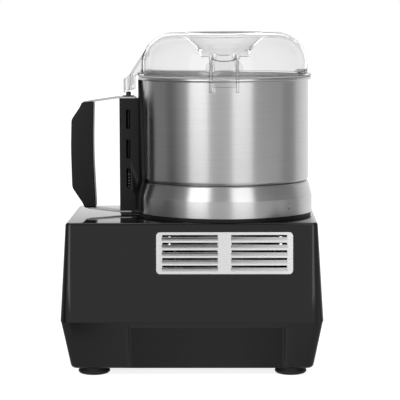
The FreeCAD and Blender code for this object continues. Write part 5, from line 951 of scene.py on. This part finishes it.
@dataclass
class Handle:
    """The moulded grip with its soft edges, and a low dark block of painted shade under the handle
    column.
    """

    grip_half: float = 14.0
    grip_edge: float = 5.5
    shade_block_half: float = 9.6
    shade_block_edge: float = 0.5

    def build(self, finishes: Finishes) -> None:
        """Builds the grip and the dark block of painted shade under the column.

        Args:
            finishes: The machine's finishes.
        """
        grip = self.slab([
            Bend(-133.5, 318.0, 3.0), Bend(-119.3, 319.6, 2.5), Bend(-120.7, 262.0, 600.0),
            Bend(-117.4, 190.5, 2.5), Bend(-131.0, 190.0, 3.0), Bend(-134.4, 197.0, 4.0),
            Bend(-146.2, 215.0, 10.0), Bend(-147.3, 262.0, 400.0), Bend(-146.4, 297.0, 10.0),
            Bend(-136.0, 312.5, 3.0)], self.grip_half, self.grip_edge)
        finish_piece(
            "moulded_grip", grip, finishes, ["grip_palm_shell", "grip_finger_shell"],
            sharp_degrees=50.0)
        # Painted shade: a dark block under the handle column that closes the bright gap above the
        # base, standing for the shade there
        foot = self.slab([
            Bend(-88.3, 184.9), Bend(-88.3, 182.4, 0.8), Bend(-63.0, 182.4, 0.8),
            Bend(-63.0, 188.5), Bend(-67.5, 188.5), Bend(-69.5, 184.9)],
            self.shade_block_half, self.shade_block_edge)
        finish_piece("column_shade_block", foot, finishes, ["handle_column"], sharp_degrees=50.0)

    def slab(self, bends: Sequence[Bend], half: float, edge: float) -> bmesh.types.BMesh:
        """A side outline given its width, with rounded long edges.

        Args:
            bends: The outline's corners.
            half: Half of the width.
            edge: Rounding of the long edges.

        Returns:
            The closed bmesh.
        """
        mesh = bmesh.new()
        wire(mesh, bends)
        bmesh.ops.contextual_create(mesh, geom=mesh.edges[:])
        bmesh.ops.translate(mesh, verts=mesh.verts, vec=(0, -half * MM, 0))
        moved = bmesh.ops.extrude_face_region(mesh, geom=mesh.faces[:])["geom"]
        bmesh.ops.translate(
            mesh, vec=(0, 2 * half * MM, 0),
            verts=[item for item in moved if isinstance(item, bmesh.types.BMVert)])
        caps = [e for e in mesh.edges if abs(e.verts[0].co.y - e.verts[1].co.y) < TINY]
        bmesh.ops.bevel(
            mesh, geom=caps, offset=edge * MM, offset_type="OFFSET", segments=5, profile=0.5,
            affect="EDGES", clamp_overlap=True, material=-1)
        bmesh.ops.recalc_face_normals(mesh, faces=mesh.faces)
        return mesh


class CutterMixer:
    """The whole machine: finished pieces first, then the CAD nodes that still show."""

    def __init__(self) -> None:
        """Makes the finishes."""
        self.finishes = Finishes()

    def build(self) -> None:
        """Builds every sub-assembly and dresses the rest."""
        Bowl().build(self.finishes)
        Feet().build(self.finishes)
        VentGrille().build(self.finishes)
        Handle().build(self.finishes)
        self.dress_rest()

    def dress_rest(self) -> None:
        """Replaces each CAD node that no piece stands for by its smoothly shaded copy.

        The handle column keeps its copy too, because the dark block of painted shade under it is a
        small added piece.
        """
        for node, item in frame["nodes"].items():
            self.finishes.dress(item, SLOT_OF[node])
            if item.hide_render and node != "handle_column":
                continue
            finish_piece(f"{node}_body", merged_copy(node), self.finishes, [node])


def main() -> None:
    """Builds the scene in order."""
    logging.basicConfig(level=logging.INFO, format="%(name)s: %(message)s")
    bpy.context.scene.view_settings.view_transform = "Standard"
    Studio().build()
    CutterMixer().build()


if __name__ == "__main__":
    main()
